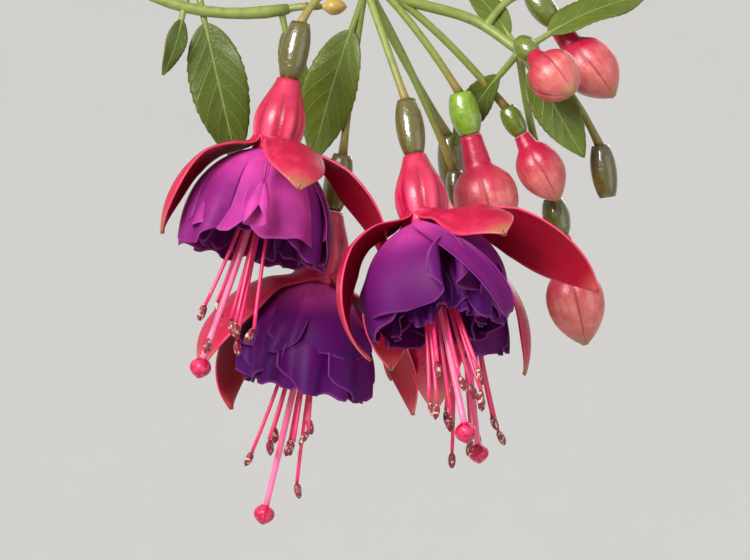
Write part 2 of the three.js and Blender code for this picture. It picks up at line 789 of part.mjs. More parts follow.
const finish = (color, roughness, metalness = 0) =>
  new THREE.MeshStandardMaterial({ color, roughness, metalness });
const LEAF_GREEN = finish(0x4f7a2e, 0.55);
const CALYX_RED = finish(0xd81b4a, 0.45);
const COROLLA_PURPLE = finish(0x5b1a8c, 0.6);
const BUD_PINK = finish(0xe0566b, 0.45);
const POT_PLASTIC = finish(0x3b4a3a, 0.6);
const EARTH = finish(0x3a2a1e, 0.95);
const STEEL = finish(0xa9adb0, 0.35, 1);

const basket = new THREE.Group();
basket.name = "fuchsia_hanging_basket";
const hung = new THREE.Group(); // what is measured from the height of the rim
hung.position.z = RIM_UP;
basket.add(hung);

function addMesh(group, name, solid, material, placing) {
  const mesh = new THREE.Mesh(geometryOf(solid), material);
  mesh.name = name;
  placing?.decompose(mesh.position, mesh.quaternion, mesh.scale);
  group.add(mesh);
}

// What stands in the hung group's frame. A leaf must clear all of it but its own stem, and of its own
// spray it must clear the other leaves' blades.
const standing = [];
function stand(node, solid, bladeOnly) {
  standing.push({ node, solid, bladeOnly, box: solid.boundingBox() });
}

function crosses(solid, box, other) {
  const past = (axis) => box.min[axis] > other.box.max[axis] || other.box.min[axis] > box.max[axis];
  return ![0, 1, 2].some(past) && !solid.intersect(other.solid).isEmpty();
}

function isClear(node, whole, bladeOnly) {
  const box = whole.boundingBox();
  return standing.every((other) => {
    if (other.node !== node) return other.bladeOnly || !crosses(whole, box, other);
    return !other.bladeOnly || !crosses(bladeOnly, box, other);
  });
}

const grown = SPRAYS.map((spray, i) => {
  const seed = i + 1;
  const points = new THREE.CubicBezierCurve3(...spray.stem).getPoints(spray.steps ?? STEM.steps);
  const shootPoints = spray.sideShoot?.map((at) => vector(...at).add(TIP));
  const shoot = shootPoints && new THREE.CatmullRomCurve3(shootPoints);
  return {
    ...spray,
    node: `leafy_stem_${seed}`,
    seed,
    points,
    shoot,
    turn: new THREE.Matrix4().makeRotationZ(radians(spray.azimuth)),
    blooms: shoot ? placedFlowers(spray.blooms, shoot) : hangingBlooms(spray, points, seed),
    buds: shoot ? placedFlowers(spray.buds, shoot) : tipBud(spray, points, seed),
    berries: shoot ? placedFlowers(spray.berries, shoot) : [],
  };
});

function addHanger() {
  const pieces = [["pot", pot(), POT_PLASTIC], ["soil", soil(grown), EARTH]];
  for (const [name, solid, material] of pieces) {
    addMesh(hung, name, solid, material);
    stand(name, solid);
  }
  addMesh(basket, "hook", hook(), STEEL);
  wireAngles.forEach((angle, i) => {
    const turn = new THREE.Matrix4().makeRotationZ(angle);
    addMesh(hung, `wire_${i + 1}`, wire(), STEEL, turn);
    stand(`wire_${i + 1}`, moved(wire(), turn));
  });
}

const counts = { bloom: 0, bud: 0 };

function addFlower(spray, name, solid, material, placing) {
  addMesh(spray.group, name, solid, material, placing);
  stand(name, moved(moved(solid, placing), spray.turn));
}

function addBloom(spray, bloom) {
  const seed = ++counts.bloom;
  const placing = hang(bloom.at, bloom.along);
  const detail = bloom.plain ? { stamens: 3, sides: 6, inner: 2 } : { stamens: 4, sides: 8, inner: 3 };
  addFlower(spray, `calyx_${seed}`, calyx({ ...bloom, ...detail, seed }), CALYX_RED, placing);
  addFlower(spray, `corolla_${seed}`, corolla({ ...detail, seed }), COROLLA_PURPLE, placing);
  return stalk(bloom, OVARY.length, OVARY.radius);
}

function addBud(spray, item) {
  const [ovaryLength, tube, body, radius] = item.shape;
  const placing = hang(item.at, item.along);
  const solid = bud({ ovaryLength, tube, body, radius }, item.plain ? 6 : 8);
  addFlower(spray, `bud_${++counts.bud}`, solid, BUD_PINK, placing);
  return stalk(item, ovaryLength, radius * 0.46);
}

// The stem, its side shoot, and the stalks, ovaries and berries that are one piece with it.
function growStem(spray) {
  spray.group = new THREE.Group();
  spray.group.rotation.z = radians(spray.azimuth);
  hung.add(spray.group);
  const last = spray.points.length - 1;
  const radii = spray.points.map((_, i) => THREE.MathUtils.lerp(STEM.foot, STEM.tip, i / last));
  spray.green = [bar(spray.points, radii, STEM.sides)];
  if (spray.shoot) {
    const course = spray.shoot.getPoints(6);
    spray.green.push(bar(course, course.map(() => STEM.tip), STEM.sides));
  }
  for (const bloom of spray.blooms) spray.green.push(addBloom(spray, bloom));
  for (const item of spray.buds) spray.green.push(addBud(spray, item));
  for (const berry of spray.berries) spray.green.push(stalk(berry, ...berry.size));
  stand(spray.node, moved(joined(spray.green), spray.turn));
}

// A bent leaf in its spray's frame, the same in the hung group's frame, and there its blade alone.
function leafSolids(spray, seat, bend, room) {
  const size = {
    ...seat,
    length: seat.length * bend[2] + room * LEAF_ROOM.length,
    width: seat.width * bend[2] + room * LEAF_ROOM.width,
  };
  const leaf = moved(leafBlade(size, LEAF.thick + room * LEAF_ROOM.thick), leafPlacing(seat, bend));
  const whole = moved(leaf, spray.turn);
  const placing = spray.turn.clone().multiply(leafPlacing(seat, bend)).elements;
  const ahead = vector(...placing.slice(0, 3));
  const stalkEnd = ahead.dot(vector(...placing.slice(12, 15))) + seat.stalk;
  return { leaf, whole, bladeOnly: whole.trimByPlane(ahead.toArray(), stalkEnd) };
}

// Adds a leaf, bent the first way that leaves room round it. One that finds no room is left out.
function growLeaf(spray, seat) {
  const bend = BENDS.find((way) => {
    const { whole, bladeOnly } = leafSolids(spray, seat, way, 1);
    return isClear(spray.node, whole, bladeOnly);
  });
  if (!bend) return;
  const { leaf, whole, bladeOnly } = leafSolids(spray, seat, bend, 0);
  spray.green.push(leaf);
  stand(spray.node, whole);
  stand(spray.node, bladeOnly, true);
}

addHanger();
grown.forEach(growStem);
for (const spray of grown) placedLeaves(spray).forEach((seat) => growLeaf(spray, seat));
for (const spray of grown) pairedLeaves(spray).forEach((seat) => growLeaf(spray, seat));
for (const spray of grown) addMesh(spray.group, spray.node, joined(spray.green), LEAF_GREEN);

export default basket;
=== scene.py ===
"""A double-flowered fuchsia in a plain hanging basket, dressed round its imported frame.

Lengths are millimetres until a mesh is made. The frame's origin is inside the hook's bend, +Z is up and
-Y is the front. Each spray has its own frame too: +X out from the pot's axis, +Y to the right of that seen
from outside, and the origin on the axis at the height of the rim. A flower hangs down from the end of its
stalk at its own origin, where an azimuth of 0 looks away from the basket and 90 to the right of that.
"""

import math
import random

import bpy
import numpy as np
from mathutils import Matrix, Vector, kdtree, noise


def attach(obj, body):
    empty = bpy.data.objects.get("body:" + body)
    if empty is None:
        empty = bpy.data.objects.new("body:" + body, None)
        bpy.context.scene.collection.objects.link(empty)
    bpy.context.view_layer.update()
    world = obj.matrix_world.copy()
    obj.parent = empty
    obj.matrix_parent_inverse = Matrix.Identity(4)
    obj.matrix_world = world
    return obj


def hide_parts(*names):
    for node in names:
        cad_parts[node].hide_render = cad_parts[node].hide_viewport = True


bl_info = {
    "name": "Fuchsia hanging basket",
    "version": (1, 0, 0),
    "blender": (4, 5, 0),
    "location": "View3D > Sidebar > Fuchsia",
    "description": "Builds the leaves, flowers, pot and hanger of a fuchsia basket round its frame",
    "category": "Object",
}

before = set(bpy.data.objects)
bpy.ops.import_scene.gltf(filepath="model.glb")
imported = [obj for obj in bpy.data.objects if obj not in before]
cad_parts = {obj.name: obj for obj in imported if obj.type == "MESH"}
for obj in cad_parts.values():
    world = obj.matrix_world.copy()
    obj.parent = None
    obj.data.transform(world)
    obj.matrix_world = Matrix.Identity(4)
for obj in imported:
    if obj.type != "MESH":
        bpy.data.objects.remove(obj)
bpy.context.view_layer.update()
BODY = "root"
MM = 0.001

# ---------------------------------------------------------------------------------------------------
# Driving dimensions, in millimetres and degrees

RIM_UP = -235  # the pot's rim, from the point of hanging
AT_RIM = Matrix.Translation((0, 0, RIM_UP))
GAP = 0.35

HOOK = {"inner": 9, "wire": 2, "shank_top": -29, "start": 215, "end": -35}
HUB = {"top": -40, "height": 9, "radius": 8.5}
WIRE = {"count": 3, "first_azimuth": 50, "radius": 1.2, "in_hub": 5, "in_lip": 97.9, "bead": 2.3}
POT = {"rim": 104, "neck": 95, "belly": 83, "foot": 66, "depth": 112, "wall": 2.6, "lip": 9, "shelf": 4}
DRAIN = {"count": 4, "radius": 4, "circle": 40}
SOIL = {"down": 13, "dome": 5, "hole_depth": 22, "crumbs": 420, "reach": 90, "lumps": 1.6, "clear": 0.6}

STEM = {"foot": 2.3, "tip": 1.2, "steps": 9, "crown_steps": 6}
STALK = {"radius": 0.85}
LEAF = {"length": 50, "width": 28, "stalk": 6}
# Sag is a share of a leaf's length, fold is a slope, and the rest are shares of its width.
LEAF_FORM = {"fold": 0.22, "sag": 0.24, "teeth": 0.05, "quilt": 0.011, "wave": 0.05}
VEINS = {"pairs": 6, "sweep": 0.32}

OVARY = {"length": 12, "radius": 3.1}
TUBE = {"length": 16.2, "neck": 2.3, "radius": 5.7, "throat": 4.9}
SEPAL = {"length": 34, "width": 14, "cup": 0.24, "seat": 4.1, "rolled_by": 0.4, "drop": -1.3}
# Each petal lies a layer inside the last, counted from the middle one. It is also less pink than the
# first by a share for each petal listed before it, down to the share `least`: painted shade, so that the
# outer petals look lit and the inner ones shaded.
PETAL = {"seat": 3.4, "drop": -0.4, "layer": 0.2, "middle": 5, "fade": 0.16, "least": 0.1}
STAMEN = {"length": 39.5, "radius": 0.42, "anther": 1.15, "anther_length": 3.6, "spread": 7, "ring": 1.7}
STYLE = {"length": 50, "root": 0.8, "radius": 0.7, "stigma": 2.1, "knob": 4.4}
THROAT = OVARY["length"] + GAP + TUBE["length"]
YOUNG_BUD_RADIUS = 3  # a bud slimmer than this has only just set

CAMERA = {"right": 2.2, "back": -1040, "up": -428.4, "lens": 196.4, "sensor": 36}

# The soft lights: the side of each square, and where it is from LIT_POINT, all in metres.
LAMPS = {
    "key": (0.6, (-0.6, -1.15, 0.5)),
    "fill": (1.2, (1.25, -1.0, 0.0)),
    "rim": (1.0, (0.5, 1.3, 0.7)),
}
LIT_POINT = (0, 0, -0.3)


# ---------------------------------------------------------------------------------------------------
# Settings that a user would change


def linear(code):
    """The linear colour of an sRGB hex value."""
    channels = [int(code[i : i + 2], 16) / 255 for i in (0, 2, 4)]
    return tuple(c / 12.92 if c <= 0.04045 else ((c + 0.055) / 1.055) ** 2.4 for c in channels)


def colour(name, description, code):
    return bpy.props.FloatVectorProperty(
        name=name, description=description, default=linear(code), subtype="COLOR", min=0, max=1
    )


def length(name, description, millimetres):
    return bpy.props.FloatProperty(
        name=name, description=description, default=millimetres * MM, min=0, unit="LENGTH"
    )


def power(name, description, watts):
    return bpy.props.FloatProperty(name=name, description=description, default=watts, min=0, unit="POWER")


class FlowerSettings(bpy.types.PropertyGroup):
    """Colours and sizes of the blooms and buds"""

    petal_base: colour("Petal base", "Corolla where a petal leaves the tube", "cb4398")
    petal_body: colour("Petal body", "Corolla's main violet", "520452")
    petal_margin: colour("Petal margin", "Corolla near its lower edge", "3a044c")
    petal_edge: colour("Petal edge", "Fine pale line along a petal's edge", "a84fa8")
    petal_vein: colour("Petal vein", "Veins that run down from a petal's base", "b0155c")
    sepal_outside: colour("Sepal outside", "Waxy outer face of sepals and tube", "a60034")
    # Also the painted highlight on the bulges of the tube's lower half.
    sepal_pale: colour("Sepal pale", "Paler stripes and edges of sepals and tube", "e64c72")
    sepal_vein: colour("Sepal vein", "Dark veins of sepals, tube and buds", "720420")
    sepal_inside: colour("Sepal inside", "Velvety inner face of a sepal", "900220")
    sepal_tip: colour("Sepal tip", "Salmon of a sepal's tip and a bud's sides", "bd5e58")
    sepal_point: colour("Sepal point", "Olive tan at the very point of a sepal or bud", "866a38")
    bud_pale: colour("Bud pale", "Pinkish cream patches on a bud's sides", "d88c80")
    bud_young: colour("Young bud", "Yellowish green of a bud that has just set", "a3923a")
    filament: colour("Filament", "Stamens' threads", "dd2d64")
    style: colour("Style", "The long style, paler than the stamens", "f4729c")
    anther: colour("Anther", "Anthers at the ends of the stamens", "7d0f2c")
    pollen: colour("Pollen", "Pollen on the anthers", "d8cba8")
    sepal_thickness: length("Sepal thickness", "Thickness of a sepal along its rib", 0.9)
    petal_thickness: length("Petal thickness", "Thickness of a petal", 0.4)
    stamens: bpy.props.IntProperty(
        name="Stamens", description="Stamens in each bloom", default=8, min=0, max=16
    )


class LeafSettings(bpy.types.PropertyGroup):
    """Colours and sizes of the leaves and stems"""

    leaf_mature: colour("Mature leaf", "Upper face of an older leaf", "3a4a12")
    leaf_young: colour("Young leaf", "Upper face of a younger leaf", "5a681a")
    leaf_under: colour("Leaf underside", "Paler lower face of a leaf", "6a783e")
    leaf_vein: colour("Leaf vein", "Rib and side veins", "84904e")
    stem_green: colour("Stem", "Green of the young stems", "77853a")
    stem_wood: colour("Woody stem", "Brown at the foot of a stem", "6d5638")
    stalk_flush: colour("Stalk flush", "Red flush of a stalk above its flower", "95592f")
    ovary_dark: colour("Ovary", "Ovary of an open bloom", "474008")
    ovary_young: colour("Young ovary", "Ovary of a bud", "71901b")
    leaf_thickness: length("Leaf thickness", "Thickness of a leaf", 0.5)
    teeth: bpy.props.IntProperty(
        name="Teeth", description="Teeth along each side of a leaf", default=13, min=0, max=40
    )


class BasketSettings(bpy.types.PropertyGroup):
    """Colours of the pot, its soil and the hanger"""

    pot: colour("Pot", "Moulded plastic of the pot", "34463a")
    soil: colour("Soil", "Moist compost", "33241a")
    crumb: colour("Bark", "Bark crumbs in the compost", "6b4a30")
    wire: colour("Wire", "Zinc-coated wire of the hanger", "94989a")


class StageSettings(bpy.types.PropertyGroup):
    """Floor, light and camera"""

    floor: colour("Floor", "Pale seamless floor", "f7f5f2")
    floor_down: length("Floor depth", "How far the floor lies below the hook's bend", 2600)
    key_power: power("Key light", "Power of the main soft light", 28)
    fill_power: power("Fill light", "Power of the second soft light", 5)
    rim_power: power("Rim light", "Power of the light from behind", 10)
    sky_colour: colour("Sky colour", "Colour of the even light all round", "f4f5f7")
    sky: bpy.props.FloatProperty(
        name="Sky", description="Strength of the even light all round", default=0.84, min=0
    )


SETTINGS = {
    "fuchsia_flowers": FlowerSettings,
    "fuchsia_leaves": LeafSettings,
    "fuchsia_basket": BasketSettings,
    "fuchsia_stage": StageSettings,
}


def settings(name):
    return getattr(bpy.context.scene, "fuchsia_" + name)


# ---------------------------------------------------------------------------------------------------
# Small sums


def vary(piece, feature):
    """A repeatable spread from -1 to 1, for the piece and the feature of it that the numbers name."""
    wave = math.sin(piece * 12.9898 + feature * 78.233 + 4.7) * 4375.8545
    return 2 * (wave - math.floor(wave)) - 1


def polar(radius, angle, up):
    return np.array([radius * math.cos(angle), radius * math.sin(angle), up])


def unit(vector):
    vector = np.asarray(vector, float)
    return vector / np.linalg.norm(vector)


def ease(low, high, value):
    """0 below low, 1 above high, and smooth between."""
    share = np.clip((np.asarray(value, float) - low) / (high - low), 0, 1)
    return share * share * (3 - 2 * share)


def bezier(controls, steps):
    """Points at even steps of a Bezier curve's parameter."""
    last = len(controls) - 1
    share = np.linspace(0, 1, steps + 1)[:, None]
    weights = [math.comb(last, i) * share**i * (1 - share) ** (last - i) for i in range(last + 1)]
    return sum(weight * np.asarray(control, float) for weight, control in zip(weights, controls))


def through(points, share):
    """A point of the centripetal Catmull-Rom curve through the points."""
    points = [np.asarray(point, float) for point in points]
    points = [2 * points[0] - points[1], *points, 2 * points[-1] - points[-2]]
    place = share * (len(points) - 3)
    first = min(int(place), len(points) - 4)
    a, b, c, d = points[first : first + 4]
    before, here, after = (math.sqrt(np.linalg.norm(q - p)) for p, q in ((a, b), (b, c), (c, d)))
    leave = here * ((b - a) / before - (c - a) / (before + here) + (c - b) / here)
    arrive = here * ((c - b) / here - (d - b) / (here + after) + (d - c) / after)
    t = place - first
    cubic = 2 * b - 2 * c + leave + arrive
    return b + leave * t + (-3 * b + 3 * c - 2 * leave - arrive) * t**2 + cubic * t**3


def smooth_line(points, steps):
    """More points along the same line, rounded at its bends."""
    return np.array([through(points, share) for share in np.linspace(0, 1, steps + 1)])


def in_place(matrix, points):
    """Points moved by a matrix."""
    matrix = np.array(matrix)
    return points @ matrix[:3, :3].T + matrix[:3, 3]


# ---------------------------------------------------------------------------------------------------
# Meshes


class Shape:
    """The faces of one piece while it is put together, in millimetres."""

    def __init__(self, matrix=None):
        self.matrix = Matrix.Identity(4) if matrix is None else matrix
        self.points, self.faces, self.coords, self.tints, self.slots = [], [], [], [], []
        self.count = 0

    def add(self, points, faces, coords, slot, tint=(1, 1, 1)):
        """Adds vertices with a texture coordinate and a tint each, and faces in a material slot."""
        points = in_place(self.matrix, np.asarray(points, float))
        faces = [tuple(i + self.count for i in face) for face in faces]
        self.points.append(points)
        self.faces += faces
        self.coords.append(np.asarray(coords, float))
        self.tints.append(np.broadcast_to(np.asarray(tint, float), (len(points), 3)))
        self.slots += [slot] * len(faces) if isinstance(slot, int) else list(slot)
        self.count += len(points)

    def rings(self, rings, slot, tints=(1, 1, 1), along=None):
        """A closed skin over a list of rings of points, with flat ends."""
        rings = np.asarray(rings, float)
        many, sides = rings.shape[:2]
        along = np.linspace(0, 1, many) if along is None else along
        faces = []
        for i in range(many - 1):
            for j in range(sides):
                a, b = i * sides + j, i * sides + (j + 1) % sides
                faces.append((a, b, b + sides, a + sides))
        faces.append(tuple(range(sides))[::-1])
        faces.append(tuple(range((many - 1) * sides, many * sides)))
        around = np.abs(np.linspace(-1, 1, sides, endpoint=False))
        coords = np.stack(np.meshgrid(around, along), axis=-1).reshape(-1, 2)
        tints = np.asarray(tints, float)
        if tints.ndim == 2:
            tints = np.repeat(tints, sides, axis=0)
        self.add(rings.reshape(-1, 3), faces, coords, slot, tints)

    def tube(self, line, radii, sides, slot, tints=(1, 1, 1)):
        """A round bar along a line, with a radius at each point."""
        line = np.asarray(line, float)
        ahead = np.gradient(line, axis=0)
        spoke = np.array([0.7, 0.7, 0.1])
        angles = np.linspace(0, 2 * math.pi, sides, endpoint=False)
        rings = []
        for point, tangent, radius in zip(line, ahead, radii):
            tangent = unit(tangent)
            spoke = unit(spoke - tangent * spoke.dot(tangent))
            across = np.cross(tangent, spoke)
            ring = np.outer(np.cos(angles), spoke) + np.outer(np.sin(angles), across)
            rings.append(point + radius * ring)
        self.rings(rings, slot, tints)

    def turned(self, profile, sides, slot, tints=(1, 1, 1), lobes=None, along=None, at=(0, 0, 0)):
        """A solid of revolution from [radius, height] pairs, lowest first, about an upright line through
        `at`. `along` are the shares along the piece, and lobes(angles, share) scales the radius."""
        profile = np.asarray(profile, float)
        angles = np.linspace(0, 2 * math.pi, sides, endpoint=False)
        along = np.linspace(0, 1, len(profile)) if along is None else along
        rings = []
        for (radius, height), share in zip(profile, along):
            scale = lobes(angles, share) if lobes else np.ones(sides)
            x, y = radius * scale * np.cos(angles), radius * scale * np.sin(angles)
            rings.append(np.stack([x, y, np.full(sides, height)], axis=-1) + at)
        self.rings(rings, slot, tints, along)

    def sheet(self, grid, thickness, slots, tint=(1, 1, 1)):
        """A thin body about a grid of points [along, across], with an upper, an under and a rim slot."""
        rows, columns = grid.shape[:2]
        along, across = np.gradient(grid, axis=0), np.gradient(grid, axis=1)
        normal = np.cross(along, across)
        normal /= np.maximum(np.linalg.norm(normal, axis=-1, keepdims=True), 1e-9)
        half = np.broadcast_to(np.asarray(thickness, float) / 2, (rows, columns))[..., None] * normal
        points = np.concatenate([(grid + half).reshape(-1, 3), (grid - half).reshape(-1, 3)])
        u, v = np.meshgrid(np.linspace(0, 1, columns), np.linspace(0, 1, rows))
        coords = np.stack([u, v], axis=-1).reshape(-1, 2)
        index = np.arange(rows * columns).reshape(rows, columns)
        upper = [index[:-1, :-1], index[1:, :-1], index[1:, 1:], index[:-1, 1:]]
        upper = np.stack(upper, axis=-1).reshape(-1, 4)
        under = upper[:, ::-1] + rows * columns
        border = [*index[0, :-1], *index[:-1, -1], *index[-1, :0:-1], *index[:0:-1, 0]]
        rim = [
            (a, b, b + rows * columns, a + rows * columns)
            for a, b in zip(border, border[1:] + border[:1])
        ]
        faces = [*map(tuple, upper), *map(tuple, under), *rim]
        named = [slots[0]] * len(upper) + [slots[1]] * len(under) + [slots[2]] * len(rim)
        self.add(points, faces, np.concatenate([coords, coords]), named, tint)

    def make(self, name, materials, nodes):
        """Makes the Blender object with the materials given, and hides the CAD nodes that it stands for."""
        mesh = bpy.data.meshes.new(name)
        mesh.from_pydata(np.concatenate(self.points) * MM, [], self.faces)
        corners = np.zeros(len(mesh.loops), int)
        mesh.loops.foreach_get("vertex_index", corners)
        coords = mesh.uv_layers.new(name="surface")
        coords.data.foreach_set("uv", np.concatenate(self.coords)[corners].ravel())
        tints = np.concatenate(self.tints)
        tint = mesh.color_attributes.new("tint", "FLOAT_COLOR", "POINT")
        tint.data.foreach_set("color", np.column_stack([tints, np.ones(len(tints))]).ravel())
        for material in materials:
            mesh.materials.append(material)
        mesh.polygons.foreach_set("material_index", self.slots)
        mesh.polygons.foreach_set("use_smooth", [True] * len(self.faces))
        mesh.validate()
        piece = bpy.data.objects.new(name, mesh)
        bpy.context.scene.collection.objects.link(piece)
        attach(piece, BODY)
        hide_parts(*nodes)
        return piece


def changed(piece, kind, **values):
    """Applies one modifier to a piece."""
    modifier = piece.modifiers.new(kind.lower(), kind)
    for name, value in values.items():
        setattr(modifier, name, value)
    done = bpy.data.meshes.new_from_object(piece.evaluated_get(bpy.context.evaluated_depsgraph_get()))
    piece.modifiers.clear()
    piece.data = done


# ---------------------------------------------------------------------------------------------------
# Materials

# Grain of each surface, in millimetres from lump to lump. The cells of petals, sepals and leaves are really
# 0.03 to 0.05 mm across, too fine to show, so that they are drawn at 0.4 to 0.8 mm.
CELLS = {"petal": 0.4, "sepal": 0.6, "sepal_inside": 0.4, "tube": 0.5, "leaf": 0.7, "stem": 0.8}
BLOTCHES = {"petal": 6, "sepal": 3, "tube": 4, "bud": 2.6, "leaf": 7, "stem": 1.6, "anther": 0.9}
WARTS = 0.8
POT_GRAIN = {"dust": 22, "mark": 3, "dimple": 0.9}
CRUMB_GRAIN = 4
ZINC_CRYSTALS = 2.5
FLOOR_CLOUDS = 400
WANDER_GRAIN = 6

LIGHT_DEPTH = 2 * MM  # how far light goes into living tissue


def add_node(tree, kind, inputs=None, take=0, **values):
    """Adds a node and returns its output `take`. inputs are its sockets' values, or what feeds them."""
    made = tree.nodes.new("ShaderNode" + kind)
    for name, value in values.items():
        setattr(made, name, value)
    for name, value in (inputs or {}).items():
        if isinstance(value, bpy.types.NodeSocket):
            tree.links.new(value, made.inputs[name])
        elif made.inputs[name].type == "RGBA":
            made.inputs[name].default_value = (*value[:3], 1)
        else:
            made.inputs[name].default_value = value
    return made.outputs[take]


def new_material(name, **principled):
    """A material with one Principled shader, with the values given for its sockets."""
    material = bpy.data.materials.new(name)
    material.use_nodes = True
    tree = material.node_tree
    shader = tree.nodes["Principled BSDF"]
    for socket, value in principled.items():
        shader.inputs[socket.replace("_", " ")].default_value = value
    return material, tree, shader


def feed(tree, shader, **sockets):
    """Links outputs to the shader's sockets."""
    for name, output in sockets.items():
        tree.links.new(output, shader.inputs[name.replace("_", " ")])


def blade_coordinates(tree):
    """The shares across and along a blade, and the share of the way out from its rib to its edge."""
    coordinate = add_node(tree, "UVMap", uv_map="surface")
    across, along = (add_node(tree, "SeparateXYZ", {0: coordinate}, take=axis) for axis in (0, 1))
    sided = add_node(tree, "Math", {0: across, 1: 2.0, 2: -1.0}, operation="MULTIPLY_ADD")
    return across, along, add_node(tree, "Math", {0: sided}, operation="ABSOLUTE")


def grain(tree, millimetres, detail=2.0):
    """Noise whose lumps have a real size."""
    place = add_node(tree, "TexCoord", take=3)
    return add_node(tree, "TexNoise", {"Vector": place, "Scale": 1 / (millimetres * MM), "Detail": detail})


def ridges(tree, across, count, wander=0.0):
    """A wave across a blade that goes between 0 and 1 `count` times, and wanders by the amount given."""
    if wander:
        drift = grain(tree, WANDER_GRAIN, 1.0)
        across = add_node(tree, "Math", {0: drift, 1: wander, 2: across}, operation="MULTIPLY_ADD")
    place = add_node(tree, "Math", {0: across, 1: float(count)}, operation="MULTIPLY")
    return add_node(tree, "Math", {0: place, 1: 1.0}, operation="PINGPONG")


def coloured(tree, ground, *coats):
    """The ground colour under coats of others. A coat is its colour, its strength, and the patterns that
    limit it, each with its values where the coat starts and where it is full."""
    for colour_over, strength, *limits in coats:
        for pattern, start, full in limits:
            span = {"Value": pattern, "From Min": start, "From Max": full, "To Max": strength}
            strength = add_node(tree, "MapRange", span, interpolation_type="SMOOTHSTEP")
        mixed = {0: strength, 6: ground, 7: colour_over}
        ground = add_node(tree, "Mix", mixed, take=2, data_type="RGBA")
    return ground


def velvet_petal():
    """Petal tissue whose cells are domed like velvet: deep, matt violet that lightens at its edges. It is
    pink with dark red veins where it leaves the tube, and pinker by the tint attribute: partly a younger
    bloom's own pink, partly painted light on the petals that face the lamp."""
    flowers = settings("flowers")
    material, tree, shader = new_material(
        "petal_velvet_cells",
        Roughness=0.5,
        Specular_IOR_Level=0.1,
        Sheen_Weight=0.05,
        Sheen_Roughness=0.4,
        Sheen_Tint=(*flowers.petal_edge, 1),
        Subsurface_Weight=0.12,
        Subsurface_Scale=LIGHT_DEPTH,
    )
    across, along, out = blade_coordinates(tree)
    edge = add_node(tree, "Math", {0: along, 1: out}, operation="MAXIMUM")
    fresh = add_node(tree, "Attribute", take=2, attribute_name="tint")
    body = coloured(
        tree,
        flowers.petal_base,
        (flowers.petal_body, 1.0, (along, 0.05, 0.6)),
        (flowers.petal_margin, 1.0, (along, 0.45, 1.0)),
        # Painted light in part: the tint attribute makes petals that face the lamp pinker, besides the own
        # pink of younger blooms.
        (flowers.petal_base, fresh),
        (flowers.petal_body, 0.35, (grain(tree, BLOTCHES["petal"]), 0.35, 0.7)),
        (flowers.petal_vein, 0.8, (along, 0.6, 0.12), (ridges(tree, across, 11, 0.05), 0.84, 1.0)),
        (flowers.petal_edge, 0.28, (edge, 0.97, 0.995)),
    )
    pleat = {"Value": ridges(tree, across, 14, 0.12), "From Min": 0.1, "From Max": 1.0, "To Max": 0.4}
    pleats = add_node(tree, "MapRange", pleat, interpolation_type="SMOOTHSTEP")
    rough = add_node(tree, "Math", {0: pleats, 1: grain(tree, CELLS["petal"])}, operation="ADD")
    bump = add_node(tree, "Bump", {"Strength": 0.25, "Distance": 0.1 * MM, "Height": rough})
    feed(tree, shader, Base_Color=body, Normal=bump)
    return material


def waxy_sepal():
    """Outer skin of a sepal: waxy and finely pebbled, so that it has a soft satin gloss. Crimson with
    darker veins, paler at its edges, salmon towards the tip and greenish at the point."""
    flowers = settings("flowers")
    material, tree, shader = new_material(
        "sepal_waxy_skin",
        Roughness=0.42,
        Specular_IOR_Level=0.3,
        Coat_Weight=0.06,
        Coat_Roughness=0.3,
        Subsurface_Weight=0.1,
        Subsurface_Scale=LIGHT_DEPTH,
    )
    across, along, out = blade_coordinates(tree)
    skin = coloured(
        tree,
        flowers.sepal_outside,
        (flowers.sepal_pale, 0.22, (grain(tree, BLOTCHES["sepal"], 4.0), 0.45, 0.75)),
        (flowers.sepal_tip, 0.4, (along, 0.72, 1.0)),
        (flowers.sepal_point, 0.75, (along, 0.84, 0.98)),
        (flowers.sepal_vein, 0.55, (along, 1.0, 0.35), (ridges(tree, across, 9, 0.03), 0.8, 1.0)),
        (flowers.sepal_pale, 0.4, (out, 0.86, 1.0)),
    )
    pebbles = grain(tree, CELLS["sepal"])
    bump = add_node(tree, "Bump", {"Strength": 0.6, "Distance": 0.2 * MM, "Height": pebbles})
    feed(tree, shader, Base_Color=skin, Normal=bump)
    return material


def velvet_sepal():
    """Inner face of a sepal: velvety cells, so that it is a deep, even and saturated red, with a thin pale
    line round its edge."""
    flowers = settings("flowers")
    material, tree, shader = new_material(
        "sepal_velvet_cells",
        Roughness=0.5,
        Specular_IOR_Level=0.2,
        Subsurface_Weight=0.1,
        Subsurface_Scale=LIGHT_DEPTH,
    )
    across, along, out = blade_coordinates(tree)
    skin = coloured(
        tree,
        flowers.sepal_inside,
        (flowers.sepal_tip, 0.5, (along, 0.86, 1.0)),
        (flowers.sepal_vein, 0.25, (ridges(tree, across, 7, 0.03), 0.7, 1.0)),
        (flowers.sepal_pale, 0.6, (out, 0.92, 1.0)),
    )
    velvet = grain(tree, CELLS["sepal_inside"])
    bump = add_node(tree, "Bump", {"Strength": 0.2, "Distance": 0.12 * MM, "Height": velvet})
    feed(tree, shader, Base_Color=skin, Normal=bump)
    return material


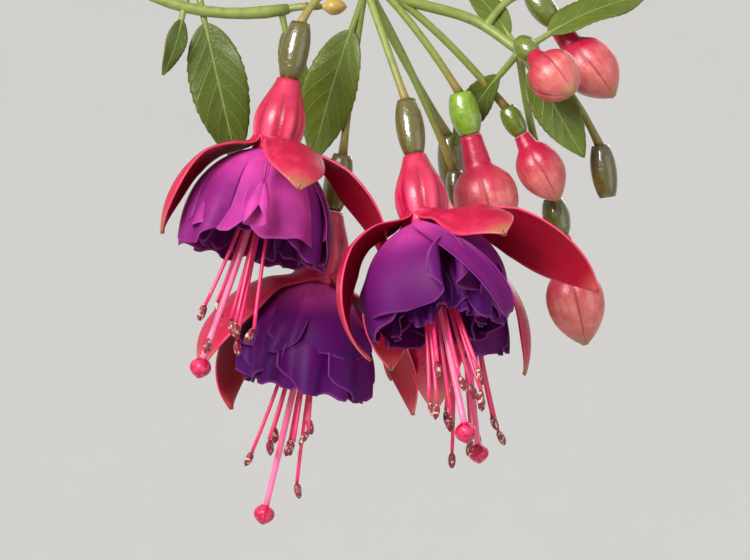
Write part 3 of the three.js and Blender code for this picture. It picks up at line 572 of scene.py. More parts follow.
def waxy_tube():
    """Skin of the flower's tube: waxy, drawn tight over eight ribs, so that it shows glossy bulges between
    dark seams. The paler pink on the bulges in its lower half is a painted highlight."""
    flowers = settings("flowers")
    material, tree, shader = new_material(
        "tube_waxy_skin",
        Roughness=0.34,
        Coat_Weight=0.15,
        Coat_Roughness=0.28,
        Subsurface_Weight=0.12,
        Subsurface_Scale=LIGHT_DEPTH,
    )
    around, along, _ = blade_coordinates(tree)
    skin = coloured(
        tree,
        flowers.sepal_outside,
        (flowers.sepal_pale, 0.3, (grain(tree, BLOTCHES["tube"]), 0.4, 0.8)),
        # Painted highlight: paler pink on the bulges between the seams, in the tube's lower half.
        (flowers.sepal_pale, 0.65, (along, 0.3, 0.7), (ridges(tree, around, 8, 0.02), 0.25, 1.0)),
        (flowers.sepal_vein, 0.75, (ridges(tree, around, 8), 0.22, 0.0), (along, 0.1, 0.4)),
    )
    wax = grain(tree, CELLS["tube"])
    bump = add_node(tree, "Bump", {"Strength": 0.3, "Distance": 0.2 * MM, "Height": wax})
    feed(tree, shader, Base_Color=skin, Normal=bump)
    return material


def waxy_bud():
    """Skin of a closed bud: four sepals shut edge to edge, waxy and finely pebbled. Crimson at the tube,
    salmon down the sides and greenish at the point, with dark seams."""
    flowers = settings("flowers")
    material, tree, shader = new_material(
        "bud_waxy_skin",
        Roughness=0.38,
        Coat_Weight=0.12,
        Coat_Roughness=0.3,
        Subsurface_Weight=0.12,
        Subsurface_Scale=LIGHT_DEPTH,
    )
    around, along, _ = blade_coordinates(tree)
    blotched = grain(tree, BLOTCHES["tube"])
    uneven = add_node(tree, "Math", {0: blotched, 1: 0.5, 2: along}, operation="MULTIPLY_ADD")
    patches = grain(tree, BLOTCHES["bud"], 4.0)
    skin = coloured(
        tree,
        flowers.sepal_outside,
        (flowers.sepal_tip, 0.85, (uneven, 0.5, 1.05)),
        (flowers.bud_pale, 0.48, (patches, 0.38, 0.75), (along, 0.4, 0.65)),
        (flowers.sepal_point, 0.75, (along, 0.86, 1.0)),
        (flowers.sepal_outside, 0.5, (along, 0.95, 0.4), (ridges(tree, around, 20, 0.09), 0.6, 1.0)),
        (flowers.sepal_vein, 0.7, (ridges(tree, around, 4), 0.09, 0.0), (along, 0.3, 0.5)),
    )
    grown = add_node(tree, "Attribute", take=2, attribute_name="tint")
    skin = coloured(tree, flowers.bud_young, (skin, grown))
    wax = grain(tree, CELLS["tube"])
    bump = add_node(tree, "Bump", {"Strength": 0.35, "Distance": 0.2 * MM, "Height": wax})
    feed(tree, shader, Base_Color=skin, Normal=bump)
    return material


def wet_filament():
    """Stamen threads and style: smooth, juicy tissue that light passes into, so that they glow pink and
    have a narrow bright gloss."""
    flowers = settings("flowers")
    material, tree, shader = new_material(
        "filament_smooth_tissue", Roughness=0.3, Subsurface_Weight=0.25, Subsurface_Scale=LIGHT_DEPTH
    )
    _, along, _ = blade_coordinates(tree)
    pale = add_node(tree, "Attribute", take=2, attribute_name="tint")
    thread = coloured(
        tree, flowers.filament, (flowers.style, pale), (flowers.sepal_outside, 0.6, (along, 0.5, 0.0))
    )
    feed(tree, shader, Base_Color=thread)
    return material


def dusty_anther():
    """Anthers: dark glossy sacs that have burst, so that dull cream pollen lies on them in patches."""
    flowers = settings("flowers")
    material, tree, shader = new_material("anther_burst_sacs")
    patches = grain(tree, BLOTCHES["anther"], 4.0)
    span = {"Value": patches, "From Min": 0.53, "From Max": 0.62, "To Max": 0.8}
    dust = add_node(tree, "MapRange", span, interpolation_type="SMOOTHSTEP")
    skin = coloured(tree, flowers.anther, (flowers.pollen, dust))
    rough = add_node(tree, "Math", {0: dust, 1: 0.45, 2: 0.45}, operation="MULTIPLY_ADD")
    bump = add_node(tree, "Bump", {"Strength": 0.6, "Distance": 0.2 * MM, "Height": dust})
    feed(tree, shader, Base_Color=skin, Roughness=rough, Normal=bump)
    return material


def sticky_stigma():
    """Stigma: four lobes packed in a knob, sticky and warty, so that it is pink with many small glints."""
    flowers = settings("flowers")
    material, tree, shader = new_material(
        "stigma_sticky_lobes", Roughness=0.28, Subsurface_Weight=0.15, Subsurface_Scale=LIGHT_DEPTH / 2
    )
    warts = grain(tree, WARTS, 3.0)
    skin = coloured(tree, flowers.sepal_outside, (flowers.filament, 1.0, (warts, 0.4, 0.65)))
    bump = add_node(tree, "Bump", {"Strength": 0.8, "Distance": 0.4 * MM, "Height": warts})
    feed(tree, shader, Base_Color=skin, Normal=bump)
    return material


def leaf_side(name, upper):
    """One face of a leaf: living green tissue. The upper face is satin and quilted between sunken pale
    veins, so that it shows soft streaks of light. The under face is paler, duller and ribbed."""
    leaves = settings("leaves")
    material, tree, shader = new_material(
        name,
        Roughness=0.42 if upper else 0.6,
        Specular_IOR_Level=0.36 if upper else 0.25,
        Subsurface_Weight=0.08,
        Subsurface_Scale=LIGHT_DEPTH,
    )
    _, along, out = blade_coordinates(tree)
    sweep = add_node(tree, "Math", {0: out, 1: -VEINS["sweep"], 2: along}, operation="MULTIPLY_ADD")
    across_veins = ridges(tree, sweep, 2 * VEINS["pairs"])
    side_veins = {"Value": across_veins, "From Min": 0.9, "From Max": 1.0, "To Max": 0.45}
    rib = {"Value": out, "From Min": 0.06, "From Max": 0.015, "To Max": 0.8}
    lines = [add_node(tree, "MapRange", span, interpolation_type="SMOOTHSTEP") for span in (side_veins, rib)]
    vein = add_node(tree, "Math", {0: lines[0], 1: lines[1]}, operation="MAXIMUM")
    faint = add_node(tree, "Math", {0: vein, 1: 0.75}, operation="MULTIPLY")
    age = add_node(tree, "Attribute", take=2, attribute_name="tint")
    skin = coloured(
        tree,
        leaves.leaf_mature if upper else leaves.leaf_under,
        (leaves.leaf_young, age),
        (leaves.leaf_mature, 0.3, (grain(tree, BLOTCHES["leaf"], 3.0), 0.4, 0.7)),
        (leaves.leaf_vein, faint),
    )
    relief = {0: vein, 1: -1.0 if upper else 1.0, 2: grain(tree, CELLS["leaf"])}
    height = add_node(tree, "Math", relief, operation="MULTIPLY_ADD")
    bump = add_node(tree, "Bump", {"Strength": 0.45, "Distance": 0.3 * MM, "Height": height})
    feed(tree, shader, Base_Color=skin, Normal=bump)
    return material


def green_skin(name, roughness, coat):
    """Skin of the green parts, in the tint of each: stems are satin, and ovaries are taut and wet-looking
    with a clear gloss."""
    material, tree, shader = new_material(
        name,
        Roughness=roughness,
        Coat_Weight=coat,
        Coat_Roughness=0.1,
        Subsurface_Weight=0.08,
        Subsurface_Scale=LIGHT_DEPTH / 2,
    )
    tint = add_node(tree, "Attribute", attribute_name="tint")
    shade = add_node(tree, "HueSaturation", {"Value": 0.62, "Color": tint})
    skin = coloured(tree, tint, (shade, 0.5, (grain(tree, BLOTCHES["stem"], 3.0), 0.45, 0.7)))
    relief = {"Strength": 0.4 + 0.5 * coat, "Distance": 0.2 * MM, "Height": grain(tree, CELLS["stem"])}
    feed(tree, shader, Base_Color=skin, Normal=add_node(tree, "Bump", relief))
    return material


def moulded_pot():
    """Polypropylene, injection-moulded: even, matt and faintly dimpled, with clouds of brownish dust and
    small pale marks of dried water."""
    basket = settings("basket")
    material, tree, shader = new_material("polypropylene_moulded", Roughness=0.5, IOR=1.49)
    clouds = grain(tree, POT_GRAIN["dust"], 6.0)
    span = {"Value": clouds, "From Min": 0.5, "From Max": 0.72, "To Max": 0.12}
    dust = add_node(tree, "MapRange", span, interpolation_type="SMOOTHSTEP")
    marks = grain(tree, POT_GRAIN["mark"], 5.0)
    skin = coloured(tree, basket.pot, (basket.crumb, dust), (basket.wire, 0.1, (marks, 0.62, 0.7)))
    rough = add_node(tree, "Math", {0: dust, 1: 0.46}, operation="ADD")
    dimples = grain(tree, POT_GRAIN["dimple"])
    bump = add_node(tree, "Bump", {"Strength": 0.25, "Distance": 0.2 * MM, "Height": dimples})
    feed(tree, shader, Base_Color=skin, Roughness=rough, Normal=bump)
    return material


def moist_compost():
    """Moist compost: peat crumbs and bark, which take light in, so that it is nearly black with brown
    flecks and no gloss."""
    basket = settings("basket")
    material, tree, shader = new_material("compost_crumbled", Roughness=0.95, Specular_IOR_Level=0.15)
    lumps = grain(tree, CRUMB_GRAIN, 6.0)
    earth = coloured(tree, basket.soil, (basket.crumb, 1.0, (lumps, 0.5, 0.7)))
    bump = add_node(tree, "Bump", {"Strength": 1.0, "Distance": MM, "Height": lumps})
    feed(tree, shader, Base_Color=earth, Normal=bump)
    return material


def zinc_wire():
    """Steel wire, drawn and hot-dip galvanised: dull silver, its gloss broken by millimetre-wide zinc
    crystals."""
    zinc = (*settings("basket").wire, 1)
    material, tree, shader = new_material("steel_galvanised", Base_Color=zinc, Metallic=1.0)
    crystals = grain(tree, ZINC_CRYSTALS)
    span = {"Value": crystals, "From Min": 0.3, "From Max": 0.7, "To Min": 0.25, "To Max": 0.55}
    feed(tree, shader, Roughness=add_node(tree, "MapRange", span, interpolation_type="SMOOTHSTEP"))
    return material


def painted_floor():
    """Seamless painted sweep: matt emulsion, so that it is pale and even with no reflection."""
    material, tree, shader = new_material("emulsion_rolled", Roughness=0.9, Specular_IOR_Level=0.2)
    pale = settings("stage").floor
    soft = tuple(channel * 0.96 for channel in pale)
    feed(tree, shader, Base_Color=coloured(tree, pale, (soft, grain(tree, FLOOR_CLOUDS))))
    return material


# ---------------------------------------------------------------------------------------------------
# Sprays

TIP = np.array([140, 0, -130])
LEFT_TIP = np.array([109, 69, -133])
FOOT_UP = -SOIL["down"] - SOIL["hole_depth"]

# The long front spray. Flower stalks fan out from TIP and from a side shoot, and their places are
# (out, right, up) from TIP. `start` is a share of the way along the side shoot, and 0 if it isn't given.
# A sepal is (azimuth, degrees below level where it leaves, degrees it turns by, length, degrees it is
# rolled), a bloom's reach is how far its style hangs below the throat and how far to the right, and a
# bud's shape is the lengths of its ovary, tube and body, and its radius. A berry's size is its length
# and radius, and a leaf's its length, its width and the length of its stalk. A bloom's last entry, from
# 0 to 1, is how pink its petals are: partly a younger bloom's own pink and partly painted light, highest
# for the front bloom that the lamp lights most. Where a bud has such an entry, it is how light a green
# its ovary is.
FRONT = {
    "azimuth": -90,
    "stem": [(30, 0, FOOT_UP), (40, 6, 150), (178, -12, 40), TIP],
    "shoot": [(0.4, 0, 1.5), (-2, 10, -2), (-4, 24, -6), (0, 34, -13)],
    "leaf_nodes": [2, 3, 4, 5, 6, 7],
    "blooms": [
        {
            "at": (12, -14, -8),
            "along": (0.1, -0.2, -0.97),
            "bend": (7, -9, 3),
            "sepals": [(-72, 8, 96, 33, 20), (82, 0, 82, 35, -24), (18, -15, 86, 26), (172, 4, 90, 34)],
            "reach": (49, -6),
            "fresh": 0.78,
        },
        {
            "at": (14, 9, -25),
            "along": (0.28, 0.14, -0.95),
            "bend": (9, 4.5, -12),
            "sepals": [(-72, 0, 136, 42, 24), (86, 5, 62, 39, -38), (36, 2, 52, 26, 25), (-150, 10, 90, 36)],
            "reach": (46, 2),
            "fresh": 0.12,
        },
        {
            "at": (-8, -5, -36),
            "along": (0, -0.19, -0.98),
            "bend": (-5, -3, -18),
            "sepals": [
                (-74, 12, 84, 34, -16),
                (-118, 24, 94, 39, 10),
                (98, 22, 55, 36, -20),
                (175, 5, 90, 34),
            ],
            "reach": (53, -2),
            "fresh": 0.02,
        },
        {
            "at": (-26, 19, -31),
            "along": (-0.05, 0.08, -1),
            "bend": (-13, 9, -16),
            "sepals": [(72, 30, 84, 32, -18), (-18, 24, 62, 42), (-100, 16, 95, 34), (180, 4, 80, 34)],
            "reach": (44, 1),
            "fresh": 0.1,
        },
    ],
    "buds": [
        {"at": (-2, 21, -22.5), "along": (0, 0.24, -0.97), "start": 0.15, "bend": (0, 14, -11),
         "shape": (9, 7, 17, 7.4), "fresh": 1},
        {"at": (-8, 31.5, -25.5), "along": (0, 0.49, -0.87), "start": 0.2, "bend": (-5, 18, -9),
         "shape": (6.2, 2.8, 14, 5.4)},
        {"at": (4.5, 34, -11.5), "along": (0.6, 0.55, -0.58), "start": 1, "bend": (2, 34.5, -11.5),
         "shape": (5, 2.5, 12, 5.8)},
        {"at": (-9, 37, 0), "along": (0.1, 0.62, -0.78), "start": 0.75, "bend": (-8, 32, 1),
         "shape": (8, 6, 15, 6.3)},
        {"at": (-18, 42, -45.5), "along": (0.04, 0.22, -0.97), "start": 1, "bend": (-18, 36, -28),
         "shape": (8, 7.4, 17.6, 6.7)},
    ],
    "berries": [
        {"at": (-11, 20, -39.5), "along": (0, 0.1, -1), "bend": (-6, 10, -15), "size": (7, 2.3)},
        {"at": (-5, 52, -34), "along": (0, 0.15, -1), "start": 1, "bend": (-5, 45, -18), "size": (11, 2.9)},
    ],
    "leaves": [
        {"node": 9, "along": (-0.12, -0.34, -0.93), "face": (1, -0.25, 0), "size": (31, 19.5, 9)},
        {"along": (0.3, 0.5, -0.82), "face": (1, -0.1, 0.3), "size": (22, 16, 5)},
        {"along": (-0.5, -0.56, -0.66), "face": (0.9, -0.2, 0.3), "size": (23, 12, 8)},
        {"along": (-0.3, 0.82, 0.5), "face": (0.8, -0.3, 0.5), "size": (27, 15, 8)},
        {"along": (-0.5, -0.45, 0.72), "face": (0.7, 0, 0.5), "size": (20, 10, 5)},
    ],
}

# The shoot at the front left, whose end runs level to the right behind the front blooms.
FRONT_LEFT = {
    "azimuth": -130,
    "hand": -1,
    "stem": [(30, 0, FOOT_UP), (62, -16, 172), (198, -14, -155), LEFT_TIP],
    "leaf_nodes": [2, 3, 4, 5, 6],
    "hangers": [5],
    "tip_bud": (3, 0.5, 5, 1.9),
    "leaves": [
        {"node": 8.4, "along": (-0.1, 0.2, -0.97), "face": (0.77, 0.64, 0), "size": (31, 21, 6)},
        {"node": 8.32, "along": (0.4, 0.1, -0.9), "face": (0.3, 0.9, 0.1), "size": (13, 8, 6)},
        {"node": 8.95, "along": (-0.2, 0.1, -0.97), "face": (0.77, 0.64, 0), "size": (22, 10, 5)},
    ],
}

TRAILING = [(-46, -58), (-2, -82), (42, -10), (88, 4), (134, -8), (184, -78)]  # azimuth, tip from rim
CROWN = [90, 130, 210, 250, 330, 10]  # azimuths

# Ways that a leaf may be bent clear of its neighbours: degrees turned in its own plane, degrees lifted,
# and a share of its size.
BENDS = [
    (0, 0, 1),
    (16, 0, 1),
    (-16, 0, 1),
    (0, 18, 1),
    (0, -18, 1),
    (28, 14, 0.9),
    (-28, 14, 0.9),
    (28, -16, 0.85),
    (-28, -16, 0.85),
    (0, 36, 0.8),
    (0, -36, 0.75),
    (45, 8, 0.7),
    (-45, 8, 0.7),
]


def trailing_spray(place, number):
    azimuth, tip_up = place
    out = 170 + 7 * vary(number, 1)
    hand = -1 if number % 2 else 1
    sway = -hand * (8 + 5 * vary(number, 2))
    return {
        "azimuth": azimuth,
        "hand": hand,
        "stem": [
            (30, 0, FOOT_UP),
            (40, sway * 0.4, 100 + 10 * vary(number, 3)),
            (out - 22, -sway, 84 + 10 * vary(number, 4)),
            (out, sway, tip_up),
        ],
        "leaf_nodes": [2, 3, 4, 5, 6, 7],
        "hangers": [8],
        "tip_bud": (8, 6, 15, 6.2),
    }


def crown_spray(azimuth, number):
    high = 84 + 10 * vary(number, 5)
    return {
        "azimuth": azimuth,
        "stem": [
            (13, 0, FOOT_UP),
            (15, 0, 40),
            (30, 8 * vary(number, 6), high),
            (68 + 6 * vary(number, 7), 12 * vary(number, 8), high - 14),
        ],
        "steps": STEM["crown_steps"],
        "leaf_nodes": [3, 4, 5, 6],
        "leaf_size": 1.05,
    }


MIDDLE = {
    "azimuth": 40,
    "stem": [(1, 0, FOOT_UP), (-2, 0, 20), (3, 3, 60), (2, -2, 90)],
    "steps": STEM["crown_steps"],
    "leaf_nodes": [4, 6],
}


def hanging_bloom(spray, node):
    """A bloom on a long stalk from a node of the stem."""
    seed, hand = spray["seed"], spray["hand"]
    start = spray["points"][node]
    return {
        "start": start,
        "bend": start + (7, hand * 9, -6),
        "at": start + (9, hand * 14, -33 + 4 * vary(seed, 12)),
        "along": (0.12 + 0.08 * vary(seed, 13), 0.12 * vary(seed, 14), -1),
        "sepals": [
            (
                45 + 90 * k + 10 * vary(seed, 20 + k),
                -10 + 12 * vary(seed, 25 + k),
                85 + 20 * vary(seed, 30 + k),
                SEPAL["length"],
            )
            for k in range(4)
        ],
        "reach": (STYLE["length"] + 3 * vary(seed, 35), 2 * vary(seed, 36)),
        "plain": True,
    }


def tip_bud(spray):
    """A bud at the end of the stem: a large one on a stalk, or a young one that sits close."""
    hand = -spray["hand"]
    start = spray["points"][-1]
    if spray["tip_bud"][3] > YOUNG_BUD_RADIUS:
        steps = [(3, 6, -6), (4, 9, -24), (0.05, 0.15, -1)]
    else:
        steps = [(-1, 1.5, 0.5), (-2, 4, 0.5), (-0.55, 0.55, 0)]
    bend, at, along = (np.array(step) * (1, hand, 1) for step in steps)
    return {"start": start, "bend": start + bend, "at": start + at, "along": along, "shape": spray["tip_bud"]}


def placed(items, shoot):
    """The front spray's flowers, with their places in its frame."""
    return [
        {
            **item,
            "start": through(shoot, item.get("start", 0)),
            "bend": TIP + item["bend"],
            "at": TIP + item["at"],
        }
        for item in items
    ]


def grown_sprays():
    """Every spray with its points, its place, and what hangs from it."""
    listed = [FRONT]
    listed += [trailing_spray(place, number) for number, place in enumerate(TRAILING, 2)]
    listed += [FRONT_LEFT]
    listed += [crown_spray(azimuth, number) for number, azimuth in enumerate(CROWN, 9)]
    listed += [MIDDLE]
    grown = []
    blooms, buds = 0, 0
    for seed, spray in enumerate(listed, 1):
        spray = {"steps": STEM["steps"], "leaf_size": 1, "leaves": [], "berries": [], **spray, "seed": seed}
        spray["points"] = bezier(spray["stem"], spray["steps"])
        spray["matrix"] = AT_RIM @ Matrix.Rotation(math.radians(spray["azimuth"]), 4, "Z")
        if "shoot" in spray:
            spray["shoot"] = [TIP + step for step in spray["shoot"]]
            for kind in ("blooms", "buds", "berries"):
                spray[kind] = placed(spray[kind], spray["shoot"])
        else:
            spray["blooms"] = [hanging_bloom(spray, node) for node in spray.get("hangers", [])]
            spray["buds"] = [tip_bud(spray)] if "tip_bud" in spray else []
        for bloom in spray["blooms"]:
            blooms += 1
            bloom["number"] = blooms
        for bud in spray["buds"]:
            buds += 1
            bud["number"] = buds
        grown.append(spray)
    return grown


def hang(spray, item):
    """The place of a flower that hangs from its stalk's end."""
    down = Vector((0, 0, -1))
    turn = down.rotation_difference(Vector(item["along"]).normalized()).to_matrix().to_4x4()
    return spray["matrix"] @ Matrix.Translation(item["at"]) @ turn


# ---------------------------------------------------------------------------------------------------
# Leaves


def on_stem(points, node):
    """The point of the stem's line at a node, or between two where it isn't a whole number."""
    before = math.ceil(node) - 1
    return points[before] + (points[before + 1] - points[before]) * (node - before)


def placed_seats(spray):
    """Where the leaves that are placed one by one sit, and how they lie."""
    for leaf in spray["leaves"]:
        long, wide, stalk = leaf["size"]
        at = on_stem(spray["points"], leaf["node"]) if "node" in leaf else spray["shoot"][-1]
        yield {
            "at": at,
            "stem": at,
            "along": leaf["along"],
            "face": leaf["face"],
            "length": long,
            "width": wide,
            "stalk": stalk,
            "near": True,
        }


def paired_seats(spray):
    """Where the leaves of the nodes sit, two to a node, every other pair turned round the stem."""
    points, seed = spray["points"], spray["seed"]
    for pair, node in enumerate(spray["leaf_nodes"]):
        chord = points[node] - points[node - 1]
        ahead = unit(chord)
        odd = pair % 2
        twist = 12 + 78 * max(ahead[2], 0) if odd else -6
        side = Vector(unit(np.array([0, 1, 0]) - ahead * ahead[1]))
        side.rotate(Matrix.Rotation(math.radians(twist + 6 * vary(seed, node)), 3, Vector(ahead)))
        hanging = max(-ahead[2], 0)
        for hand in (1, -1):
            key = 30 * node + 10 * hand
            yaw = math.radians((44 if odd else 74) + 9 * vary(seed, key))
            along = ahead * math.cos(yaw) + np.array(side) * hand * math.sin(yaw)
            along[2] -= 0.22 + 0.15 * vary(seed, key + 1)
            size = spray["leaf_size"] * (1.04 - 0.05 * node) * (1 + 0.1 * vary(seed, key + 2))
            yield {
                "at": points[node - 1] + 0.85 * chord + 1.1 * hand * ahead,
                "stem": bezier(spray["stem"], 400)[round(400 * (node - 0.15) / spray["steps"])],
                "along": along,
                "face": (0.25 + hanging, 0, 1 - 0.5 * hanging),
                "length": LEAF["length"] * size,
                "width": LEAF["width"] * size,
                "stalk": LEAF["stalk"],
                "near": seed == 1,
            }


def leaf_placing(seat, bend):
    """A bent leaf's place in its spray: +X the way it grows and +Z the way it looks."""
    turn, lift, _ = bend
    x = Vector(seat["along"]).normalized()
    z = Vector(seat["face"])
    z = (z - x * z.dot(x)).normalized()
    x.rotate(Matrix.Rotation(math.radians(turn), 3, z))
    y = z.cross(x)
    lifted = Matrix.Rotation(math.radians(-lift), 3, y)
    x.rotate(lifted)
    z.rotate(lifted)
    placing = Matrix((x, y, z)).transposed().to_4x4()
    placing.translation = seat["at"]
    return placing


def bend_in_frame(spray, seat, corners):
    """The way the frame's leaf is bent here, told by where its tip is, or None where there's no leaf."""
    for bend in BENDS:
        length_now = seat["length"] * bend[2]
        tip = Vector((seat["stalk"] + length_now, 0, -LEAF_FORM["sag"] * length_now))
        tip = spray["matrix"] @ leaf_placing(seat, bend) @ tip
        if corners.find(tip * MM)[2] < 0.3 * MM:
            return bend
    return None


def leaf_grid(seat, share, key):
    """A leaf's surface: ovate and toothed, folded along its rib, quilted between its veins and wavy."""
    long, wide = seat["length"] * share, seat["width"] * share
    rows, columns = (66, 15) if seat["near"] else (40, 11)
    s = np.linspace(0, 0.996, rows)[:, None]
    t = np.linspace(-1, 1, columns)[None, :]
    outline = 1.62 * (s + 0.004) ** 0.62 * (1 - s) ** 0.8
    teeth = settings("leaves").teeth
    saw = (s * teeth) % 1 - 0.5
    half = wide / 2 * outline * (1 + LEAF_FORM["teeth"] * saw * ease(0.1, 0.25, s) * ease(1, 0.9, s))
    across = t * half
    rib = np.sqrt(across**2 + 1.2**2) - 1.2
    quilt = np.cos(2 * np.pi * VEINS["pairs"] * (s - VEINS["sweep"] * np.abs(t)))
    quilt = -LEAF_FORM["quilt"] * wide * quilt * np.abs(t) ** 0.5 * (1 - t**2) * ease(0, 0.2, s)
    wave = t**2 * np.sin(2 * np.pi * (1.4 * s + vary(key, 1)) + 1.3 * np.sign(t))
    wave = LEAF_FORM["wave"] * wide * wave
    sag = -LEAF_FORM["sag"] * long * s * s
    up = sag + LEAF_FORM["fold"] * rib + quilt + wave * ease(0, 0.3, s)
    return np.stack([seat["stalk"] + long * (s + 0 * t), across, up], axis=-1)


def add_leaf(shape, spray, seat, bend, key):
    """A leaf's blade, and its stalk that runs on as the rib under the blade."""
    placing = spray["matrix"] @ leaf_placing(seat, bend)
    grid = leaf_grid(seat, bend[2], key)
    shape.matrix = placing
    thick = settings("leaves").leaf_thickness / MM
    age = np.clip(0.35 + 0.4 * vary(key, 2) + 0.25 * (seat["length"] < 36), 0, 1)
    taper = 1 - 0.6 * np.abs(np.linspace(-1, 1, grid.shape[1])) ** 4
    shape.sheet(grid, thick * taper[None, :], (0, 1, 0), (age, age, age))
    middle = grid[:, grid.shape[1] // 2]
    root = np.array(placing.inverted() @ (spray["matrix"] @ Vector(seat["stem"])))
    stalk_end = np.array([seat["stalk"], 0, 0.0])
    bow = np.array([seat["stalk"] * 0.5, 0, -0.4])
    rib = middle[2 : int(len(middle) * 0.92) : 3] - (0, 0, 0.25)
    line = np.concatenate([bezier([root, bow, stalk_end - (0, 0, 0.2)], 5), rib])
    radii = np.concatenate([np.linspace(0.85, 0.7, 6), np.linspace(0.62, 0.16, len(rib))])
    shape.tube(line, radii, 8, 2, settings("leaves").stem_green[:])


# ---------------------------------------------------------------------------------------------------
# Flowers


def even_seats(sepals):
    """The azimuth at which each sepal leaves the tube: a quarter of a turn apart, near where it goes."""
    order = sorted(range(len(sepals)), key=lambda k: sepals[k][0] % 360)
    share = 360 / len(sepals)
    first = sum(sepals[k][0] % 360 - share * place for place, k in enumerate(order)) / len(sepals)
    return {k: math.radians(first + share * place) for place, k in enumerate(order)}


def sepal_grid(sepal, seat, rows, columns, key):
    """A sepal's surface: it leaves the tube as a quarter of its wall, then arches out and down."""
    azimuth, pitch, turn, long, roll = (*sepal, 0)[:5]
    azimuth, pitch, turn, roll = (math.radians(angle) for angle in (azimuth, pitch, turn, roll))
    s = np.linspace(0, 0.994, rows)[:, None]
    t = np.linspace(-1, 1, columns)[None, :]
    outline = 1.07 * (0.55 + 1.35 * s**1.3) * (1 - s**2.6)
    across = t * outline * SEPAL["width"] / 2
    angle = pitch + turn * s
    radius = long / turn
    out = SEPAL["seat"] + radius * (np.sin(angle) - math.sin(pitch))
    down = SEPAL["drop"] + radius * (math.cos(pitch) - np.cos(angle))
    rolled = roll * np.minimum(s / SEPAL["rolled_by"], 1)
    ahead = np.array([math.cos(azimuth), math.sin(azimuth), 0])
    level = np.array([-math.sin(azimuth), math.cos(azimuth), 0])
    up = np.array([0, 0, 1])
    upright = np.sin(angle)[..., None] * ahead + np.cos(angle)[..., None] * up
    cosine, sine = np.cos(rolled)[..., None], np.sin(rolled)[..., None]
    face, side = upright * cosine - level * sine, level * cosine + upright * sine
    cupped = -SEPAL["cup"] * across**2 / (SEPAL["width"] / 2)
    wavy = 0.5 * ease(0.1, 0.5, s) * t**2 * np.sin(2 * np.pi * (1.1 * s + vary(key, 3)))
    arch = out[..., None] * ahead - (THROAT + down)[..., None] * up
    arch = arch + across[..., None] * side + (cupped + wavy)[..., None] * face
    near = azimuth + (seat - azimuth + math.pi) % (2 * math.pi) - math.pi
    wall_radius = TUBE["throat"] + 0.25 + 0 * t
    turned = near + t * math.pi / 4 * (1 - 0.15 * s)
    high = 3.2 - THROAT - 20 * s
    wall = np.stack([wall_radius * np.cos(turned), wall_radius * np.sin(turned), high + 0 * t], axis=-1)
    grown = ease(0.02, 0.2, s)[..., None]
    return wall * (1 - grown) + arch * grown


PETAL_WORDS = (
    "azimuth", "pitch", "turn", "flare", "length", "width", "waves", "ripple", "left", "right", "claw", "lean"
)

